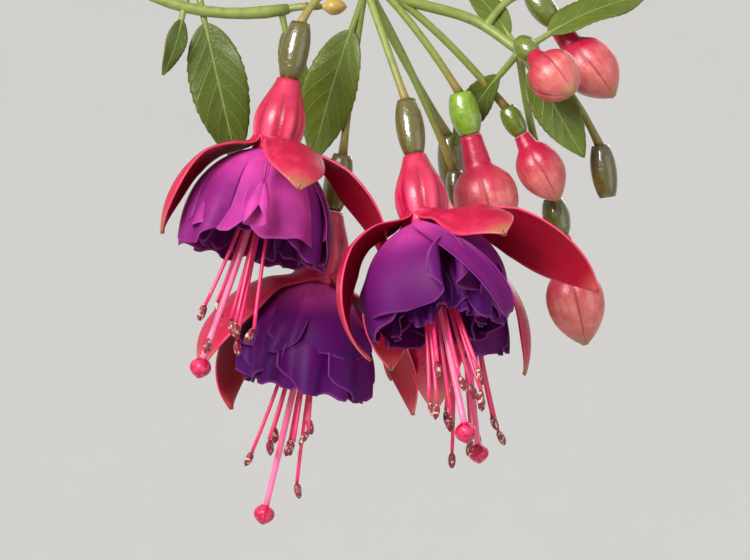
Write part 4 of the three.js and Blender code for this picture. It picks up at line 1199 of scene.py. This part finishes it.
# The petals of the front blooms, outermost first: azimuth, degrees below level where it leaves, degrees
# it turns by, degrees its lower edge flares out by, length, width, waves in its lower edge, their depth in
# degrees, and the degrees by which its left and right edges are rolled in, or out where they are negative.
# Two have more: the share of the length that is a narrow claw, and the degrees that the end leans round the
# flower.
FRONT_PETALS = {
    1: [
        (0, 12, 80, 0, 26.5, 14, 0.5, 0, -230, -230, 0.62),
        (30, 32, 60, 24, 24, 23, 0.7, 12, -30, -40),
        (-38, 34, 58, 24, 24.5, 20, 0.9, 20, -40, -50),
        (-104, 18, 92, 6, 30, 25, 1.1, 16, -20, 30),
        (-66, 24, 82, 8, 29, 24, 1.1, 24, -20, 20),
        (104, 20, 86, 12, 29, 24, 1.4, 24, -30, -20),
        (66, 26, 76, 16, 28, 22, 1.2, 26, 20, -30),
        (-150, 20, 90, 10, 29, 24, 1.3, 24, -20, 10),
        (158, 20, 90, 10, 29, 24, 1.3, 24, -20, 10),
        (0, 40, 52, 0, 22, 18, 1.4, 40, 60, 60),
        (120, 50, 40, 10, 25, 18, 1.5, 44, 80, 60),
        (-120, 50, 40, 10, 25, 18, 1.5, 44, 60, 80),
        (180, 55, 36, 10, 25, 18, 1.5, 44, 60, 60),
    ],
    2: [
        (-22, 12, 100, -6, 34, 7.5, 0.5, 8, -40, -90, 0, 74),
        (50, 14, 104, -4, 25, 25, 0.6, 8, -200, 20),
        (-36, 19, 94, 4, 27, 32, 0.8, 12, -30, -235),
        (84, 16, 108, 0, 29, 26, 0.9, 10, -40, -20),
        (-80, 20, 98, 10, 30, 26, 1.2, 18, -20, 30),
        (110, 18, 104, 0, 29.5, 26, 1.0, 12, -40, 10),
        (-140, 20, 98, 10, 29, 26, 1.3, 24, -20, 10),
        (162, 20, 98, 10, 29, 26, 1.3, 24, -20, 10),
        (66, 30, 82, 0, 28, 22, 1.2, 26, -30, -30),
        (8, 36, 66, 0, 25, 19, 1.3, 50, 160, -140),
        (40, 40, 64, 0, 26, 19, 1.4, 55, -140, 160),
        (84, 46, 54, 0, 26, 17, 1.5, 50, 120, 90),
        (-24, 48, 56, 0, 26, 16, 1.5, 50, 90, 120),
        (-90, 50, 44, 0, 26, 17, 1.5, 46, 90, 90),
        (150, 50, 44, 0, 26, 17, 1.5, 46, 90, 90),
    ],
    3: [
        (20, 28, 56, -8, 20, 27, 0.7, 8, -25, -35),
        (-38, 30, 58, 0, 21, 19, 0.9, 24, -30, -70),
        (-58, 30, 80, 4, 27, 22, 1.2, 24, 190, -30),
        (62, 34, 66, 16, 28, 22, 1.0, 20, -30, -50),
        (104, 32, 74, 4, 27, 22, 1.2, 22, -20, 20),
        (20, 36, 62, 10, 28.5, 23, 1.2, 24, -30, 20),
        (-24, 36, 64, 4, 28, 21, 1.2, 24, -30, 10),
        (-104, 32, 78, 0, 27, 22, 1.3, 22, -20, 10),
        (-160, 30, 80, 6, 27, 22, 1.3, 22, -20, 10),
        (142, 30, 80, 6, 27, 22, 1.3, 22, -20, 10),
        (70, 46, 42, 16, 28, 18, 1.5, 44, 60, 60),
        (-70, 48, 42, 10, 27, 18, 1.5, 44, 90, 60),
        (170, 52, 38, 10, 26, 18, 1.5, 42, 60, 60),
    ],
    4: [
        (-60, 46, 66, 0, 23, 20, 1.1, 20, -20, 20),
        (30, 46, 66, 0, 23, 20, 1.1, 20, -20, 20),
        (120, 46, 66, 0, 23, 20, 1.1, 20, -20, 20),
        (-150, 46, 66, 0, 23, 20, 1.1, 20, -20, 20),
        (-15, 52, 52, 0, 23, 18, 1.3, 30, 40, 40),
        (75, 52, 52, 0, 23, 18, 1.3, 30, 40, 40),
        (165, 52, 52, 0, 23, 18, 1.3, 30, 40, 40),
        (-105, 52, 52, 0, 23, 18, 1.3, 30, 40, 40),
    ],
}


def petals_of(number):
    """The petals of a bloom: the photographed ones as listed, and the others in three rings by rule."""
    if number in FRONT_PETALS:
        return [dict(zip(PETAL_WORDS, row)) for row in FRONT_PETALS[number]]
    listed = []
    for i in range(4):
        turn = 100 + 8 * vary(number, 40 + i)
        azimuth = 20 + 90 * i + 7 * vary(number, 20 + i)
        listed.append((azimuth, 20, turn - 10, 12, 29, 24, 1.2, 26, -20, -30))
        listed.append((azimuth + 45, 30, turn - 30, 14, 28, 22, 1.4, 34, -30, 40))
    for i in range(4):
        azimuth = 65 + 90 * i + 14 * vary(number, 60 + i)
        listed.append((azimuth, 50, 40 + 8 * vary(number, 50 + i), 4, 24, 17, 1.8, 44, 110, 80))
    return [dict(zip(PETAL_WORDS, row)) for row in listed]


def petal_grid(petal, layer, rows, columns, key):
    """A petal's surface. Each strip across it is a line of true length that bends round the flower, in
    waves and into its rolled edges, so that nothing stretches."""
    bends, steps = 40, 80
    course = np.linspace(0, 1, steps)
    pitch, turn, flare = (math.radians(petal[name]) for name in ("pitch", "turn", "flare"))
    angle = pitch + turn * course - flare * course**5
    step = petal["length"] * course[1]
    out = PETAL["seat"] + layer * ease(0, 0.3, course)
    out = out + np.concatenate([[0], np.cumsum(np.cos(angle[:-1]) * step)])
    down = PETAL["drop"] + np.concatenate([[0], np.cumsum(np.sin(angle[:-1]) * step)])
    s = np.linspace(0, 1, rows)[:, None]
    t = np.linspace(-1, 1, columns)[None, :]
    lobed = 1 - 0.2 * np.abs(t) ** 3.2 + 0.03 * np.cos(2 * np.pi * petal["waves"] * t + key)
    a = np.clip(s * lobed, 0, 1)
    claw = petal.get("claw", 0)
    blade = np.clip((a - claw) / (0.8 * (1 - claw)), 0, 1)
    half = petal["width"] / 2 * (0.2 + 0.8 * np.sin(np.pi / 2 * blade) ** 1.1)
    half = np.where(a < claw, 0.4 * half, half)
    v = t[..., None] * (np.arange(bends) + 0.5) / bends
    wrap = v * (half / np.maximum(np.interp(a, course, out), 3.5))[..., None]
    deep = (math.radians(petal["ripple"]) * a**1.7)[..., None]
    phase = math.pi * vary(key, 5)
    ripple = deep * 1.6 * np.cos(np.pi * 2 * petal["waves"] * v + phase)
    ripple = ripple + deep * 0.35 * np.cos(np.pi * 4.6 * petal["waves"] * v + 2 * phase) * a[..., None] ** 2
    grip = ease(0.15, 0.8, a)[..., None]
    left, right = math.radians(petal["left"]), math.radians(petal["right"])
    unrolled = 0.0 if claw else 0.55
    roll = grip * (right * ease(unrolled, 1, v) - left * ease(unrolled, 1, -v))
    bent = wrap + ripple + roll
    width_step = (t * half / bends)[..., None]
    sideways = np.sum(np.cos(bent) * width_step, axis=-1)
    inwards = np.sum(np.sin(bent) * width_step, axis=-1)
    azimuth = np.radians(petal["azimuth"] + petal.get("lean", 0) * a)
    ahead = np.stack([np.cos(azimuth), np.sin(azimuth), 0 * a], axis=-1)
    level = np.stack([-np.sin(azimuth), np.cos(azimuth), 0 * a], axis=-1)
    up = np.array([0, 0, 1])
    slope = np.interp(a, course, angle)
    face = np.sin(slope)[..., None] * ahead + np.cos(slope)[..., None] * up
    low = THROAT + np.interp(a, course, down)
    middle = np.interp(a, course, out)[..., None] * ahead - low[..., None] * up
    return middle + sideways[..., None] * level - inwards[..., None] * face


def add_stalk(shape, item, long, wide, tint, sides):
    """A flower's stalk, flushed red towards its end, and the ovary that it widens into."""
    leaves = settings("leaves")
    line = bezier([item["start"], item["bend"], item["at"]], 14)
    share = np.linspace(0, 1, len(line))[:, None]
    green, flush = np.array(leaves.stem_green), np.array(leaves.stalk_flush)
    tints = green + (flush - green) * ease(0.55, 1, share) * 0.45
    radii = STALK["radius"] * (1 + 0.25 * ease(0.85, 1, share[:, 0]) + 0.35 * ease(0.12, 0, share[:, 0]))
    shape.tube(line, radii, sides, 0, tints)
    drops = np.linspace(0, 1, 13)
    body = wide * (0.36 + 0.64 * np.sin(np.pi * np.clip(drops * 0.86 + 0.08, 0, 1)) ** 0.55)
    along = unit(item["along"])
    line = item["at"] + np.outer(drops * (long + GAP + 0.3) - 0.4, along)
    shape.tube(line, body, sides * 2, 1, tint)


def add_stamens(shape, bloom):
    """Stamens with burst anthers, and the longer style with its knob."""
    number = bloom["number"]
    count = settings("flowers").stamens
    first_ring = 3 if bloom.get("plain") else 4
    hang_down, right = bloom["reach"]
    for i in range(count):
        later = i >= first_ring
        turn = i - first_ring + 0.5 if later else i
        angle = math.radians(360 / first_ring * turn + 25 * vary(number, 70 + i))
        spread = STAMEN["spread"] * (0.75 + 0.35 * vary(number, 80 + i))
        low = THROAT + STAMEN["length"] - 5 * vary(number, 90 + i) - 5 * later
        tip = polar(spread, angle, -low) + (0, right * 0.5 * later, 0)
        root = polar(STAMEN["ring"], angle, 1 - THROAT)
        middle = root + (tip - root) * 0.5
        middle[:2] *= 0.7
        line = bezier([root, middle, tip], 12)
        shape.tube(line, np.full(13, STAMEN["radius"]), 8, 0, (0, 0, 0))
        lean = unit((vary(number, 100 + i), vary(number, 110 + i), -2.2))
        add_anther(shape, tip, lean)
    tip = np.array([-1.5, right, 1.5 - THROAT - hang_down])
    middle = tip * (0.37, 0.37, 1) + (0, 0, hang_down * 0.5)
    style = bezier([(0, 0, 1 - THROAT), middle, tip], 16)
    shape.tube(style, np.linspace(STYLE["root"], STYLE["radius"], 17), 8, 0)
    drops = np.linspace(0, 1, 9)
    knob = STYLE["stigma"] * np.sqrt(np.maximum(1 - (2 * drops - 0.9) ** 2 * 0.98, 0.02))
    profile = np.stack([knob[::-1], drops * STYLE["knob"]], axis=-1)
    shape.turned(profile, 20, 2, lobes=stigma_lobes, at=tip - (0, 0, 3.6))


def stigma_lobes(angles, share):
    """The stigma's radius round it: four lobes, deepest half-way up."""
    return 1 + 0.12 * np.abs(np.cos(2 * angles)) * math.sin(math.pi * share)


def add_anther(shape, tip, lean):
    """Two sacs side by side on the end of a thread."""
    long, wide = STAMEN["anther_length"], STAMEN["anther"]
    side = unit(np.cross(lean, (0.3, 1, 0.2)))
    drops = np.linspace(0, 1, 8)
    body = wide * 0.62 * np.sqrt(np.maximum(1 - (2 * drops - 1) ** 2, 0.03))
    for hand in (-1, 1):
        line = tip + side * hand * wide * 0.45 + np.outer(drops * long, lean)
        shape.tube(line, body, 10, 1)


def add_tube(shape, sides):
    """The tube between the ovary and the sepals: a narrow neck, then eight shallow ribs."""
    top = -OVARY["length"] - GAP
    down = np.linspace(1, 0, 16)
    swell = TUBE["neck"] + (TUBE["radius"] - TUBE["neck"]) * ease(-0.12, 0.6, down)
    swell -= (TUBE["radius"] - TUBE["throat"] + 0.1) * ease(0.6, 1, down)
    profile = np.stack([swell, top - down * TUBE["length"]], axis=-1)

    def ribs(angles, share):
        return 1 + 0.06 * ease(0.1, 0.5, share) * (np.abs(np.sin(4 * angles)) ** 0.6 - 0.6)

    shape.turned(profile, sides, 0, lobes=ribs, along=down)


# A closed bud's radius down its body, as shares of its length and of its greatest radius.
BUD_BODY = [
    (0, 0.42),
    (0.06, 0.6),
    (0.16, 0.83),
    (0.28, 0.96),
    (0.4, 1),
    (0.54, 0.97),
    (0.68, 0.84),
    (0.8, 0.64),
    (0.9, 0.4),
    (0.96, 0.22),
    (1, 0.05),
]


def add_bud(shape, bud, sides):
    """A closed bud: its tube, and four plump sepals shut edge to edge down to their point."""
    ovary, tube, body, radius = bud["shape"]
    top = -ovary - GAP
    neck = tube / (tube + body)
    shares = np.concatenate([np.linspace(0, neck, 9)[:-1], np.linspace(neck, 1, 30)])
    narrow = radius * (0.33 + 0.09 * ease(0, neck, shares))
    belly = np.interp((shares - neck) / (1 - neck), *zip(*BUD_BODY)) * radius
    swell = np.where(shares > neck, belly, narrow)
    swell = np.convolve(np.pad(swell, 1, mode="edge"), (0.25, 0.5, 0.25), mode="valid")
    profile = np.stack([swell, top - shares * (tube + body)], axis=-1)

    def seams(angles, share):
        return 1 + 0.09 * ease(neck, neck + 0.2, share) * (np.abs(np.sin(2 * angles)) ** 0.5 - 0.75)

    grown = 0.15 if radius < YOUNG_BUD_RADIUS else 1
    shape.turned(profile[::-1], sides, 0, grown, lobes=seams, along=shares[::-1])


# ---------------------------------------------------------------------------------------------------
# Operators


class FUCHSIA_OT_stage(bpy.types.Operator):
    """Sets the pale floor, the soft lights and the camera"""

    bl_idname = "fuchsia.stage"
    bl_label = "Stage"

    def execute(self, context):
        self.floor()
        stage = settings("stage")
        for name, (size, away) in LAMPS.items():
            self.light(name, getattr(stage, name + "_power"), size, away)
        world = bpy.data.worlds.new("even_sky")
        world.use_nodes = True
        sky = world.node_tree.nodes["Background"]
        sky.inputs["Color"].default_value = (*stage.sky_colour, 1)
        sky.inputs["Strength"].default_value = stage.sky
        context.scene.world = world
        context.scene.view_settings.view_transform = "Standard"
        self.camera(context)
        return {"FINISHED"}

    def floor(self):
        """A round floor, in metres, whose edge sweeps up into a wall on every side."""
        reach, sweep, high, sides = 8.0, 3.0, 3.0, 96
        down = -settings("stage").floor_down
        profile = [(0.02, down)] + [(reach * share, down) for share in (0.25, 0.5, 0.75)]
        for i in range(13):
            angle = math.pi / 2 * i / 12
            profile.append((reach + sweep * math.sin(angle), down + sweep * (1 - math.cos(angle))))
        profile.append((reach + sweep, down + sweep + high))
        points, faces = [], []
        for radius, height in profile:
            points += [tuple(polar(radius, 2 * math.pi * j / sides, height)) for j in range(sides)]
        for i in range(len(profile) - 1):
            for j in range(sides):
                a, b = i * sides + j, i * sides + (j + 1) % sides
                faces.append((a, b, b + sides, a + sides))
        faces.append(tuple(range(sides))[::-1])
        mesh = bpy.data.meshes.new("floor_sweep")
        mesh.from_pydata(points, [], faces)
        mesh.polygons.foreach_set("use_smooth", [True] * len(faces))
        mesh.materials.append(painted_floor())
        floor = bpy.data.objects.new("floor_sweep", mesh)
        bpy.context.scene.collection.objects.link(floor)

    def light(self, name, power, size, away):
        """A soft square light that looks at the basket, and isn't seen itself."""
        data = bpy.data.lights.new(name + "_light", "AREA")
        data.energy = power
        data.size = size
        light = bpy.data.objects.new(name + "_light", data)
        light.location = Vector(LIT_POINT) + Vector(away)
        light.rotation_euler = Vector(away).to_track_quat("Z", "Y").to_euler()
        light.visible_camera = False
        bpy.context.scene.collection.objects.link(light)

    def camera(self, context):
        """The camera of the photograph: level, in front of the lowest blooms."""
        data = bpy.data.cameras.new("photo_camera")
        data.lens = CAMERA["lens"]
        data.sensor_width = CAMERA["sensor"]
        data.clip_start = 0.05
        data.clip_end = 60
        camera = bpy.data.objects.new("photo_camera", data)
        camera.location = (CAMERA["right"] * MM, CAMERA["back"] * MM, CAMERA["up"] * MM)
        camera.rotation_euler = (math.pi / 2, 0, 0)
        context.scene.collection.objects.link(camera)
        context.scene.camera = camera


class FUCHSIA_OT_pot(bpy.types.Operator):
    """Builds the moulded pot with its rolled lip, drain holes and holes for the wires"""

    bl_idname = "fuchsia.pot"
    bl_label = "Pot"

    def execute(self, context):
        rim, neck, belly, foot = (POT[name] for name in ("rim", "neck", "belly", "foot"))
        depth, wall, lip, shelf = (POT[name] for name in ("depth", "wall", "lip", "shelf"))
        outline = [
            (1, -depth),
            (foot - 3, -depth),
            (foot - 0.6, 0.6 - depth),
            (foot, 3 - depth),
            *[(foot + (belly - foot) * share, -depth * (1 - share / 2)) for share in (0.25, 0.5, 0.75)],
            *[(belly + (neck - belly) * share, -depth * (1 - share) / 2 - shelf * share)
              for share in (0, 0.25, 0.5, 0.75, 0.97)],
            (neck + 0.6, -shelf),
            (rim - wall - 0.4, -shelf),
            (rim - wall, -shelf - 0.6),
            (rim - wall, 0.4 - lip),
            (rim - wall + 0.5, -lip),
            (rim - 0.5, -lip),
            (rim, 0.5 - lip),
            (rim, -2),
            (rim - 0.6, -0.6),
            (rim - 2, 0),
            (neck - wall + 1, 0),
            (neck - wall, -1),
            *[(neck - wall + (belly - neck) * share, -1 - (depth / 2 - 1) * share)
              for share in (0.25, 0.5, 0.75, 1)],
            *[(belly - wall + (foot - 2 - belly) * share, -depth / 2 - (depth / 2 - wall) * share)
              for share in (0.25, 0.5, 0.75, 0.97)],
            (foot - wall - 5, wall - depth),
            (1, wall - depth),
        ]
        shape = Shape(AT_RIM)
        shape.turned(outline, 144, 0)
        piece = shape.make("pot_shell", [moulded_pot()], ["pot"])
        for radius, place in self.holes():
            self.drill(piece, radius, place)
        piece.data.polygons.foreach_set("use_smooth", [True] * len(piece.data.polygons))
        changed(piece, "BEVEL", width=0.3 * MM, segments=2, limit_method="ANGLE")
        return {"FINISHED"}

    def holes(self):
        """The radius and the place of each hole."""
        for i in range(DRAIN["count"]):
            angle = 2 * math.pi * (i + 0.5) / DRAIN["count"]
            yield DRAIN["radius"], polar(DRAIN["circle"], angle, -POT["depth"])
        for angle in wire_angles():
            yield WIRE["radius"] + 0.5, polar(WIRE["in_lip"], angle, 0)

    def drill(self, piece, radius, place):
        cutter = Shape(AT_RIM)
        cutter.turned([(radius, -10), (radius, 10)], 24, 0, at=place)
        mesh = bpy.data.meshes.new("drill")
        mesh.from_pydata(np.concatenate(cutter.points) * MM, [], cutter.faces)
        bit = bpy.data.objects.new("drill", mesh)
        bpy.context.scene.collection.objects.link(bit)
        changed(piece, "BOOLEAN", object=bit, operation="DIFFERENCE", solver="EXACT")
        bpy.data.objects.remove(bit)


class FUCHSIA_OT_soil(bpy.types.Operator):
    """Builds the compost, uneven on top and strewn with crumbs of bark"""

    bl_idname = "fuchsia.soil"
    bl_label = "Soil"

    def execute(self, context):
        rings, sides = 46, 120
        inside = POT["wall"] + SOIL["clear"]
        radius = POT["belly"] + (POT["neck"] - POT["belly"]) * 0.77 - inside
        angles = np.linspace(0, 2 * math.pi, sides, endpoint=False)
        skin = []
        for share in (0.05, 0.6, 1):
            foot = POT["foot"] - POT["wall"] - 3
            skin.append([polar(foot * share, angle, POT["wall"] + GAP - POT["depth"]) for angle in angles])
        skin.append([polar(POT["belly"] - inside, angle, -POT["depth"] / 2) for angle in angles])
        for ring in range(rings):
            share = 1 - ring / rings * 0.995
            skin.append([self.top(radius * share, angle) for angle in angles])
        shape = Shape(AT_RIM)
        shape.rings(skin, 0)
        self.strew(shape, radius)
        shape.make("potting_compost", [moist_compost()], ["soil"])
        return {"FINISHED"}

    def top(self, radius, angle):
        """A point of the soil's top."""
        at = polar(radius, angle, 0)
        edge = radius / SOIL["reach"]
        lumps = noise.fractal(Vector(at) * 0.09, 1.0, 2.1, 5) * SOIL["lumps"]
        return at + (0, 0, SOIL["dome"] * (1 - edge) - SOIL["down"] + lumps)

    def strew(self, shape, radius):
        """Crumbs of bark and peat, sunk into the top."""
        draw = random.Random(31)
        for _ in range(SOIL["crumbs"]):
            angle = draw.uniform(0, 2 * math.pi)
            at = self.top(radius * 0.97 * math.sqrt(draw.random()), angle)
            size = draw.uniform(0.7, 2.3)
            squash = draw.uniform(0.4, 0.9)
            line = at + np.outer(np.linspace(-1, 1, 5) * size, unit([draw.uniform(-1, 1) for _ in range(3)]))
            radii = size * squash * np.array([0.35, 0.85, 1, 0.8, 0.3])
            shape.tube(line, radii * draw.uniform(0.8, 1.2), 6, 0)


def wire_angles():
    return [math.radians(WIRE["first_azimuth"] + 360 / WIRE["count"] * i) for i in range(WIRE["count"])]


class FUCHSIA_OT_hanger(bpy.types.Operator):
    """Builds the hook with its hub and the three wires that carry the pot"""

    bl_idname = "fuchsia.hanger"
    bl_label = "Hanger"

    def execute(self, context):
        steel = zinc_wire()
        self.hook(steel)
        for number, angle in enumerate(wire_angles(), 1):
            self.wire(number, angle, steel)
        return {"FINISHED"}

    def hook(self, steel):
        inner, half = HOOK["inner"], HOOK["wire"]
        top, height, radius = HUB["top"], HUB["height"], HUB["radius"]
        turn = np.radians(np.linspace(HOOK["start"], HOOK["end"], 40))
        bend = [polar(inner + half, angle, 0)[[0, 2, 1]] - (0, 0, inner) for angle in turn]
        shank_top = np.array([0, 0, HOOK["shank_top"]])
        shank = smooth_line([shank_top - (0, 0, 8), shank_top, bend[0], bend[3]], 24)
        line = np.concatenate([[(0, 0, top - 4)], shank[:17], bend])
        radii = np.full(len(line), float(half))
        radii[-2:] = half * 0.9, half * 0.55
        shape = Shape()
        shape.tube(line, radii, 20, 0)
        hub = [(0.5, top - height), (radius - 0.8, top - height), (radius, top - height + 0.8)]
        hub += [(radius, top - 1.4), (radius - 0.5, top - 0.4), (radius - 1.4, top), (0.5, top)]
        shape.turned(hub, 48, 0)
        shape.make("hanging_hook", [steel], ["hook"])

    def wire(self, number, angle, steel):
        """One wire: down through the hub, out to the lip and through it, with a bead at each end."""
        on_hub = HUB["top"] - RIM_UP + GAP
        under_lip = -POT["shelf"] - GAP
        in_hub, in_lip, radius, bead = WIRE["in_hub"], WIRE["in_lip"], WIRE["radius"], WIRE["bead"]
        high, low = on_hub - GAP - HUB["height"] - 3, 4
        shape = Shape(AT_RIM @ Matrix.Rotation(angle, 4, "Z"))
        slope = np.array([in_lip - in_hub, 0, low - high])
        start, end = np.array([in_hub, 0, high]), np.array([in_lip, 0, low])
        upper = bezier([start + (0, 0, 5), start, start + slope * 0.03], 8)
        lower = bezier([end - slope * 0.03, end, end - (0, 0, 5)], 8)
        line = np.concatenate([[(in_hub, 0, on_hub)], upper, lower, [(in_lip, 0, under_lip)]])
        shape.tube(line, np.full(len(line), radius), 14, 0)
        for out, up, way in ((in_hub, on_hub, 1), (in_lip, under_lip, -1)):
            shares = np.linspace(0, 1, 8)
            swell = bead * np.sqrt(np.maximum(1 - (1.5 * shares - 0.5) ** 2 * 0.97, 0.03))
            profile = np.stack([swell, up + way * shares * 3], axis=-1)[::way]
            shape.turned(profile, 20, 0, at=(out, 0, 0))
        shape.make(f"hanger_wire_{number}", [steel], [f"wire_{number}"])


class FUCHSIA_OT_stems(bpy.types.Operator):
    """Builds the stems, the flower stalks and their ovaries"""

    bl_idname = "fuchsia.stems"
    bl_label = "Stems"

    def execute(self, context):
        leaves = settings("leaves")
        skins = [green_skin("stem_satin_skin", 0.45, 0.0), green_skin("ovary_taut_skin", 0.3, 1.0)]
        for spray in grown_sprays():
            shape = Shape(spray["matrix"])
            near = spray["seed"] == 1
            self.stem(shape, spray, leaves)
            dark, young = np.array(leaves.ovary_dark), np.array(leaves.ovary_young)
            sides = 14 if near else 8
            for bloom in spray["blooms"]:
                warm = 0.5 + 0.5 * vary(bloom["number"], 7)
                add_stalk(shape, bloom, OVARY["length"], OVARY["radius"], dark * (1 + 0.6 * warm), sides)
            for bud in spray["buds"]:
                ovary, _, _, radius = bud["shape"]
                fresh = bud.get("fresh", 0.35 + 0.25 * vary(bud["number"], 8))
                add_stalk(shape, bud, ovary, radius * 0.46, young * fresh + dark * (1 - fresh), sides)
            for berry in spray["berries"]:
                add_stalk(shape, berry, *berry["size"], dark, sides)
            node = f"leafy_stem_{spray['seed']}"
            shape.make(f"stem_{spray['seed']}", skins, [node])
        return {"FINISHED"}

    def stem(self, shape, spray, leaves):
        """The stem, woody at its foot, with a swelling at each node, and its side shoot."""
        steps = spray["steps"] * 8
        line = bezier(spray["stem"], steps)
        place = np.linspace(0, spray["steps"], steps + 1)
        knots = np.exp(-(((place - 0.85 + 0.5) % 1 - 0.5) * 9) ** 2) * (place > 1.5)
        radii = np.linspace(STEM["foot"], STEM["tip"], steps + 1) * (1 + 0.22 * knots)
        wood, green = np.array(leaves.stem_wood), np.array(leaves.stem_green)
        young = ease(0, 0.75, np.linspace(0, 1, steps + 1))[:, None]
        shape.tube(line, radii, 14, 0, wood + (green - wood) * young)
        if "shoot" in spray:
            shape.tube(smooth_line(spray["shoot"], 24), np.linspace(1.3, 1.1, 25), 12, 0, green)


class FUCHSIA_OT_leaves(bpy.types.Operator):
    """Builds the leaves where the frame has them"""

    bl_idname = "fuchsia.leaves"
    bl_label = "Leaves"

    def execute(self, context):
        skins = [leaf_side("leaf_satin_upper", True), leaf_side("leaf_matt_under", False)]
        skins.append(green_skin("leaf_stalk_skin", 0.45, 0.0))
        for spray in grown_sprays():
            node = f"leafy_stem_{spray['seed']}"
            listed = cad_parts[node].data.vertices
            corners = kdtree.KDTree(len(listed))
            for corner in listed:
                corners.insert(corner.co, corner.index)
            corners.balance()
            shape = Shape()
            for number, seat in enumerate([*placed_seats(spray), *paired_seats(spray)]):
                bend = bend_in_frame(spray, seat, corners)
                if bend:
                    add_leaf(shape, spray, seat, bend, 40 * spray["seed"] + number)
            if not shape.count:
                raise RuntimeError(f"no leaf of {node} was found in the frame")
            shape.make(f"leaves_{spray['seed']}", skins, [node])
        return {"FINISHED"}


class FUCHSIA_OT_calyxes(bpy.types.Operator):
    """Builds each bloom's tube and sepals, and its stamens and style"""

    bl_idname = "fuchsia.calyxes"
    bl_label = "Calyxes and stamens"

    def execute(self, context):
        skins = [waxy_tube(), waxy_sepal(), velvet_sepal()]
        threads = [wet_filament(), dusty_anther(), sticky_stigma()]
        thick = settings("flowers").sepal_thickness / MM
        for spray in grown_sprays():
            for bloom in spray["blooms"]:
                number = bloom["number"]
                rows, columns = (22, 13) if bloom.get("plain") else (40, 23)
                shape = Shape(hang(spray, bloom))
                add_tube(shape, 32 if bloom.get("plain") else 64)
                seats = even_seats(bloom["sepals"])
                for k, sepal in enumerate(bloom["sepals"]):
                    grid = sepal_grid(sepal, seats[k], rows, columns, 10 * number + k)
                    taper = 1 - 0.65 * np.abs(np.linspace(-1, 1, columns))[None, :] ** 3
                    taper = taper * ease(-0.02, 0.12, np.linspace(0, 1, rows))[:, None]
                    shape.sheet(grid, thick * taper, (1, 2, 1))
                shape.make(f"calyx_skin_{number}", skins, [f"calyx_{number}"])
                shape = Shape(hang(spray, bloom))
                add_stamens(shape, bloom)
                shape.make(f"stamens_{number}", threads, [f"calyx_{number}"])
        return {"FINISHED"}


class FUCHSIA_OT_corollas(bpy.types.Operator):
    """Builds each bloom's petals"""

    bl_idname = "fuchsia.corollas"
    bl_label = "Corollas"

    def execute(self, context):
        velvet = velvet_petal()
        thick = settings("flowers").petal_thickness / MM
        for spray in grown_sprays():
            for bloom in spray["blooms"]:
                number = bloom["number"]
                rows, columns = (18, 25) if bloom.get("plain") else (34, 49)
                out = np.maximum(np.linspace(0, 1, rows)[:, None], np.abs(np.linspace(-1, 1, columns)))
                taper = 1 - 0.6 * out**6
                shape = Shape(hang(spray, bloom))
                petals = petals_of(number)
                # How pink the bloom's petals are: partly a younger bloom's own pink, partly painted light,
                # set high for the front bloom that faces the lamp.
                fresh = bloom.get("fresh", 0.2 + 0.15 * vary(number, 9))
                for k, petal in enumerate(petals):
                    layer = PETAL["layer"] * (PETAL["middle"] - k)
                    grid = petal_grid(petal, layer, rows, columns, 20 * number + k)
                    # Painted shade: each petal after the first is less pink, so that the first, outer ones
                    # look lit and the later, inner ones shaded.
                    pink = fresh * max(1 - PETAL["fade"] * k, PETAL["least"])
                    shape.sheet(grid, thick * taper, (0, 0, 0), pink)
                shape.make(f"corolla_petals_{number}", [velvet], [f"corolla_{number}"])
        return {"FINISHED"}


class FUCHSIA_OT_buds(bpy.types.Operator):
    """Builds the closed buds"""

    bl_idname = "fuchsia.buds"
    bl_label = "Buds"

    def execute(self, context):
        skin = waxy_bud()
        for spray in grown_sprays():
            for bud in spray["buds"]:
                number = bud["number"]
                shape = Shape(hang(spray, bud))
                add_bud(shape, bud, 64 if spray["seed"] == 1 else 40)
                shape.make(f"bud_skin_{number}", [skin], [f"bud_{number}"])
        return {"FINISHED"}


OPERATORS = [
    FUCHSIA_OT_stage,
    FUCHSIA_OT_pot,
    FUCHSIA_OT_soil,
    FUCHSIA_OT_hanger,
    FUCHSIA_OT_stems,
    FUCHSIA_OT_leaves,
    FUCHSIA_OT_calyxes,
    FUCHSIA_OT_corollas,
    FUCHSIA_OT_buds,
]


class FUCHSIA_PT_basket(bpy.types.Panel):
    """Lists the pieces of the basket"""

    bl_idname = "FUCHSIA_PT_basket"
    bl_label = "Fuchsia hanging basket"
    bl_space_type = "VIEW_3D"
    bl_region_type = "UI"
    bl_category = "Fuchsia"

    def draw(self, context):
        for operator in OPERATORS:
            self.layout.operator(operator.bl_idname)


def register():
    for kind in (*SETTINGS.values(), *OPERATORS, FUCHSIA_PT_basket):
        bpy.utils.register_class(kind)
    for name, kind in SETTINGS.items():
        setattr(bpy.types.Scene, name, bpy.props.PointerProperty(type=kind))


def unregister():
    for name in SETTINGS:
        delattr(bpy.types.Scene, name)
    for kind in (FUCHSIA_PT_basket, *reversed(OPERATORS), *SETTINGS.values()):
        bpy.utils.unregister_class(kind)


def main():
    register()
    for operator in OPERATORS:
        group, name = operator.bl_idname.split(".")
        getattr(getattr(bpy.ops, group), name)()


if __name__ == "__main__":
    main()
